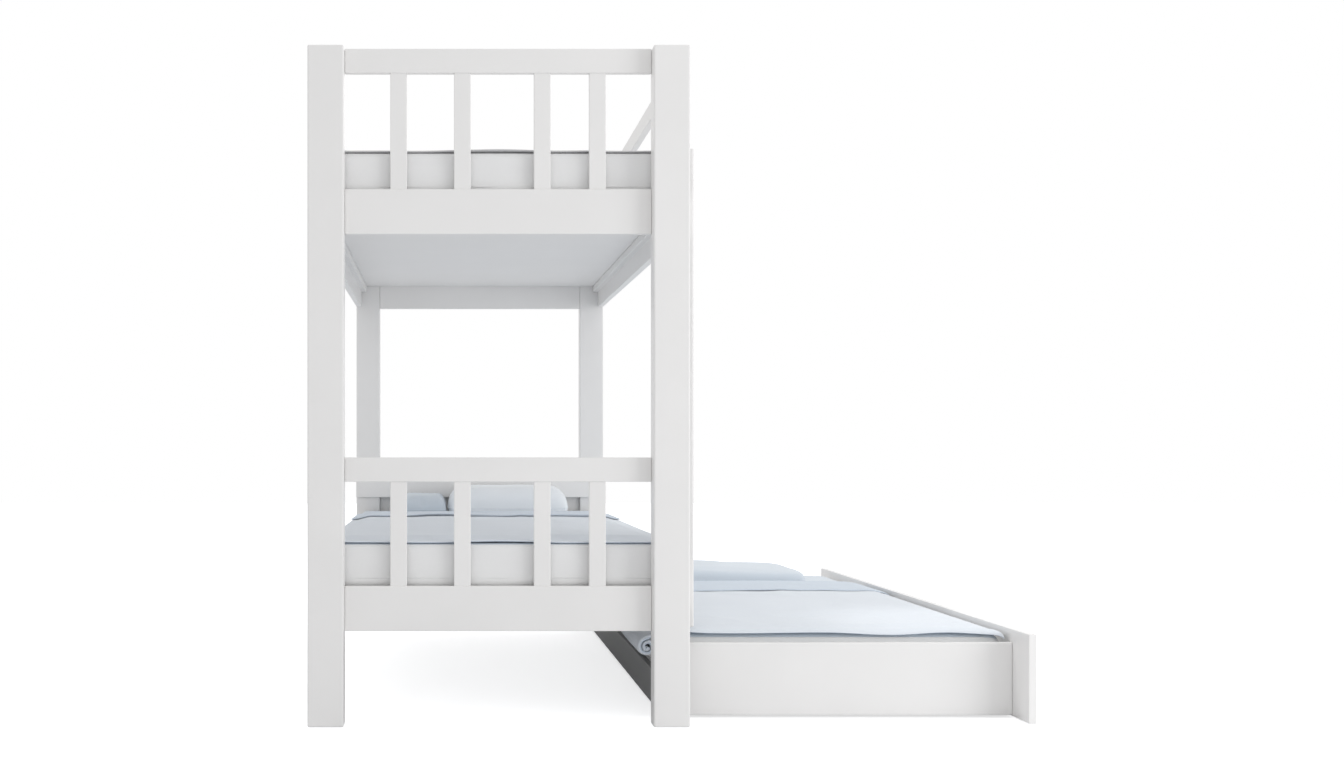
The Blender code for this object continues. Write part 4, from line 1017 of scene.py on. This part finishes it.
def add_camera(scene):
    """The photograph's camera: level, square to the bed's foot, shifted as its frame is."""
    camera_data = bpy.data.cameras.new("camera")
    camera_data.sensor_width = SENSOR_WIDTH
    camera_data.lens = CAMERA_FOCAL_PIXELS / PHOTO_WIDTH * SENSOR_WIDTH
    camera_data.shift_x = (PHOTO_WIDTH / 2 - VANISHING_X) / PHOTO_WIDTH
    camera_data.shift_y = (VANISHING_Y - PHOTO_HEIGHT / 2) / PHOTO_WIDTH
    camera_data.clip_end = 100.0
    camera = bpy.data.objects.new("camera", camera_data)
    camera.location = CAMERA_PLACE
    camera.rotation_euler = (math.pi / 2, 0.0, 0.0)
    scene.collection.objects.link(camera)
    scene.camera = camera


def add_world(scene):
    """An even pale light from all round, with a plain white background."""
    world = bpy.data.worlds.new("studio")
    scene.world = world
    world.use_nodes = True
    tree = world.node_tree
    tree.nodes.clear()
    white = (1, 1, 1, 1)
    soft = add_node(tree, "ShaderNodeBackground", {"Color": white, "Strength": WORLD_STRENGTH})
    bright = add_node(tree, "ShaderNodeBackground", {"Color": white, "Strength": 1.0})
    both = add_node(tree, "ShaderNodeMixShader", {}, {
        0: white_rays(tree, glossy_too=True), 1: soft.outputs[0], 2: bright.outputs[0]})
    output = add_node(tree, "ShaderNodeOutputWorld", {})
    tree.links.new(both.outputs[0], output.inputs["Surface"])


def add_lamp(scene, light, place, aim):
    """A lamp at its place, turned so that it shines on its aim."""
    lamp = bpy.data.objects.new(light.name, light)
    lamp.location = place
    right, ahead, up = np.array(aim) - np.array(place)
    pitch = math.atan2(math.hypot(right, ahead), -up)
    lamp.rotation_euler = (pitch, 0.0, math.atan2(ahead, right) - math.pi / 2)
    scene.collection.objects.link(lamp)


def add_floor(scene):
    """A plain pale floor that keeps a faint shadow of the bed."""
    material = bpy.data.materials.new("pale_floor")
    material.use_nodes = True
    tree = material.node_tree
    tree.nodes.clear()
    matt = add_node(tree, "ShaderNodeBsdfDiffuse", {"Color": rgba(linear("#EDEEF0"))})
    glow = add_node(tree, "ShaderNodeEmission", {"Color": (1, 1, 1, 1), "Strength": FLOOR_GLOW})
    lit = add_node(tree, "ShaderNodeAddShader", {}, {0: matt.outputs[0], 1: glow.outputs[0]})
    mix = add_node(tree, "ShaderNodeMixShader", {}, {
        0: white_rays(tree, glossy_too=False), 1: matt.outputs[0], 2: lit.outputs[0]})
    output = add_node(tree, "ShaderNodeOutputMaterial", {})
    tree.links.new(mix.outputs[0], output.inputs["Surface"])
    corners = FLOOR_HALF_WIDTH * np.array([[-1, -1, 0], [1, -1, 0], [1, 1, 0], [-1, 1, 0]])
    mesh = bpy.data.meshes.new("floor")
    mesh.from_pydata(corners.tolist(), [], [(0, 1, 2, 3)])
    mesh.materials.append(material)
    floor = bpy.data.objects.new("floor", mesh)
    scene.collection.objects.link(floor)


def paint_node(node, material):
    """Give a carried-over solid its material."""
    node.data.materials.clear()
    node.data.materials.append(material)


# Operators


class BUNKBED_OT_stage(bpy.types.Operator):
    """Set the camera at the photograph's view, the pale floor and the soft light"""
    bl_idname = "bunkbed.stage"
    bl_label = "Stage"

    def execute(self, context):
        scene = context.scene
        scene.view_settings.view_transform = "Standard"
        add_camera(scene)
        add_world(scene)
        for name, place, size, power in SOFT_LAMPS:
            light = bpy.data.lights.new(name, "AREA")
            light.size = size
            light.energy = power
            add_lamp(scene, light, place, SOFT_LAMPS_AIM)
        pool = bpy.data.lights.new("pool", "SPOT")
        pool.spot_size = POOL_ANGLE
        pool.spot_blend = POOL_BLEND
        pool.shadow_soft_size = POOL_LAMP_RADIUS
        pool.energy = POOL_POWER
        add_lamp(scene, pool, POOL_PLACE, POOL_AIM)
        add_floor(scene)
        return {"FINISHED"}


class BUNKBED_OT_woodwork(bpy.types.Operator):
    """Lacquer the posts, panels, rails, guards, ladder and trundle boards"""
    bl_idname = "bunkbed.woodwork"
    bl_label = "Woodwork"

    def execute(self, context):
        coats = (
            white_lacquer("white_lacquer_crosswise", (GRAIN_ALONG, 1.0, 1.0)),
            white_lacquer("white_lacquer_lengthwise", (1.0, GRAIN_ALONG, 1.0)),
            white_lacquer("white_lacquer_upright", (1.0, 1.0, GRAIN_ALONG)),
        )
        for name, node in frame["nodes"].items():
            if SLOTS[name] == "white_paint":
                low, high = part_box(name)
                size = high - low
                longest = max(range(3), key=lambda axis: size[axis])
                paint_node(node, coats[longest])
        # The trundle's back board gets the matt grey coat: painted shade for the shade that it lies
        # in under the bed
        painted_shade_grey = painted_shade_coat("painted_shade_grey_coat", (1.0, GRAIN_ALONG, 1.0))
        paint_node(frame["nodes"]["trundle_back_board"], painted_shade_grey)
        return {"FINISHED"}


class BUNKBED_OT_fittings(bpy.types.Operator):
    """Plate the ladder's hooks and the wheels' forks, and colour the wheels"""
    bl_idname = "bunkbed.fittings"
    bl_label = "Fittings"

    def execute(self, context):
        zinc = bright_zinc("bright_zinc_steel")
        for name, node in frame["nodes"].items():
            if SLOTS[name] == "zinc_steel":
                paint_node(node, zinc)
            if SLOTS[name] == "grey_rubber":
                low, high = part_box(name)
                paint_node(node, wheel_plastic(f"{name}_plastic", (low + high) / 2, HUB_RADIUS))
        return {"FINISHED"}


class BUNKBED_OT_mattresses(bpy.types.Operator):
    """Make the three mattresses with their fitted sheets, quilting and edge tapes"""
    bl_idname = "bunkbed.mattresses"
    bl_label = "Mattresses"

    def execute(self, context):
        colours = context.scene.bunk_bed_colours
        ticking = woven_cloth("woven_ticking", colours.ticking, 1.8 * MM,
                              shade_share=0.97, sheen=0.15, wrinkle_depth=0.5 * MM)
        tape = woven_cloth("mattress_edge_tape", colours.tape, 1.2 * MM,
                           shade_share=0.95, sheen=0.1, wrinkle_depth=0.1 * MM)
        sheet, upper_sheet = (
            woven_cloth(name, colour, 1.6 * MM, shade_share=0.97, sheen=0.2, wrinkle_depth=0.6 * MM)
            for name, colour in (("fitted_cotton_sheet", colours.sheet),
                                 ("upper_fitted_cotton_sheet", colours.upper_sheet)))
        for bunk, body, radius, cover, seed in (
                ("upper", "frame", MATTRESS_ROUND, upper_sheet, 1),
                ("lower", "frame", MATTRESS_ROUND, sheet, 2),
                ("trundle", "trundle", TRUNDLE_MATTRESS_ROUND, sheet, 3)):
            make_mattress(f"{bunk}_mattress", body, radius, ticking, cover, tape, seed)
        return {"FINISHED"}


class BUNKBED_OT_duvets(bpy.types.Operator):
    """Make the three duvets, each turned back at its head end"""
    bl_idname = "bunkbed.duvets"
    bl_label = "Duvets"

    def execute(self, context):
        colours = context.scene.bunk_bed_colours
        sizes = context.scene.bunk_bed_sizes
        blue, blue_lining, grey, grey_lining = (
            woven_cloth(name, colour, sizes.thread_pitch)
            for name, colour in (("duvet_woven_cotton", colours.duvet),
                                 ("duvet_lining_cotton", colours.lining),
                                 ("upper_duvet_woven_cotton", colours.upper_duvet),
                                 ("upper_duvet_lining_cotton", colours.upper_lining)))
        for bunk, body, seed, cloth, lining in (
                ("upper", "frame", 10, grey, grey_lining),
                ("lower", "frame", 30, blue, blue_lining),
                ("trundle", "trundle", 50, blue, blue_lining)):
            low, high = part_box(f"{bunk}_duvet")
            mattress_low, mattress_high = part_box(f"{bunk}_mattress")
            low = (mattress_low.x, low.y, mattress_high.z + DUVET_GAP)
            high = (mattress_high.x, high.y, high.z)
            if bunk == "trundle":
                shape = QuiltShape(low, high, sizes.trundle_turn_back,
                                   edge_radius=0.028, inset=0.006, seed=seed)
                shape.slip = 0.174
                shape.slip_length = 0.300
                shape.slip_fade = 0.360
                shape.left_ramp = 0.120
                shape.slot = 0.0090
                shape.slot_wave = 0.25
                shape.slot_middle = 0.0
                shape.slot_depth = 0.036
                shape.foot_droop = (0.33, 0.56)
                shape.hem_lift = 0.0022
            else:
                shape = QuiltShape(low, high, sizes.turn_back,
                                   edge_radius=0.012, inset=0.009, seed=seed)
            make_duvet(f"{bunk}_bed_duvet", f"{bunk}_duvet", body, shape, cloth, lining)
        return {"FINISHED"}


class BUNKBED_OT_pillows(bpy.types.Operator):
    """Make the three pillows with their corded seams"""
    bl_idname = "bunkbed.pillows"
    bl_label = "Pillows"

    def execute(self, context):
        colours = context.scene.bunk_bed_colours
        sizes = context.scene.bunk_bed_sizes
        # The pale and deep cases are the plain cotton made lighter and darker: painted light on the
        # right pillow, painted shade on the left
        pale, deep, plain = (
            woven_cloth(f"pillow_woven_cotton_{name}", colour, sizes.thread_pitch,
                        wrinkle_depth=1.0 * MM)
            for name, colour in (("pale", colours.pillow_painted_light), ("deep", colours.pillow_painted_shade),
                                 ("plain", colours.pillow)))
        make_pillow("lower_bed_pillow_right", "lower_pillow_right", "frame", pale, 71,
                    trim=(0.0, 0.012), power=12)
        make_pillow("lower_bed_pillow_left", "lower_pillow_left", "frame", deep, 72,
                    trim=(0.080, 0.0), power=12)
        make_pillow("trundle_bed_pillow", "trundle_pillow", "trundle", plain, 73,
                    trim=(0.0, 0.024), slope=0.31, power=40)
        return {"FINISHED"}


class BUNKBED_PT_panel(bpy.types.Panel):
    """Lists the bed's operators and settings"""
    bl_label = "Bunk bed"
    bl_idname = "BUNKBED_PT_panel"
    bl_space_type = "VIEW_3D"
    bl_region_type = "UI"
    bl_category = "Bunk Bed"

    def draw(self, context):
        for operator in OPERATORS:
            self.layout.operator(operator.bl_idname)
        for group in (context.scene.bunk_bed_sizes, context.scene.bunk_bed_colours):
            for name in group.__annotations__:
                self.layout.prop(group, name)


OPERATORS = (
    BUNKBED_OT_stage,
    BUNKBED_OT_woodwork,
    BUNKBED_OT_fittings,
    BUNKBED_OT_mattresses,
    BUNKBED_OT_duvets,
    BUNKBED_OT_pillows,
)
CLASSES = (BunkBedColours, BunkBedSizes, *OPERATORS, BUNKBED_PT_panel)


def register():
    """Add the classes and the scene's two groups of settings."""
    for each in CLASSES:
        bpy.utils.register_class(each)
    bpy.types.Scene.bunk_bed_colours = bpy.props.PointerProperty(type=BunkBedColours)
    bpy.types.Scene.bunk_bed_sizes = bpy.props.PointerProperty(type=BunkBedSizes)


def unregister():
    """Take the settings and the classes away again."""
    del bpy.types.Scene.bunk_bed_sizes
    del bpy.types.Scene.bunk_bed_colours
    for each in reversed(CLASSES):
        bpy.utils.unregister_class(each)


def main():
    """Make everything in order."""
    register()
    bpy.ops.bunkbed.stage()
    bpy.ops.bunkbed.woodwork()
    bpy.ops.bunkbed.fittings()
    bpy.ops.bunkbed.mattresses()
    bpy.ops.bunkbed.duvets()
    bpy.ops.bunkbed.pillows()


if __name__ == "__main__":
    main()
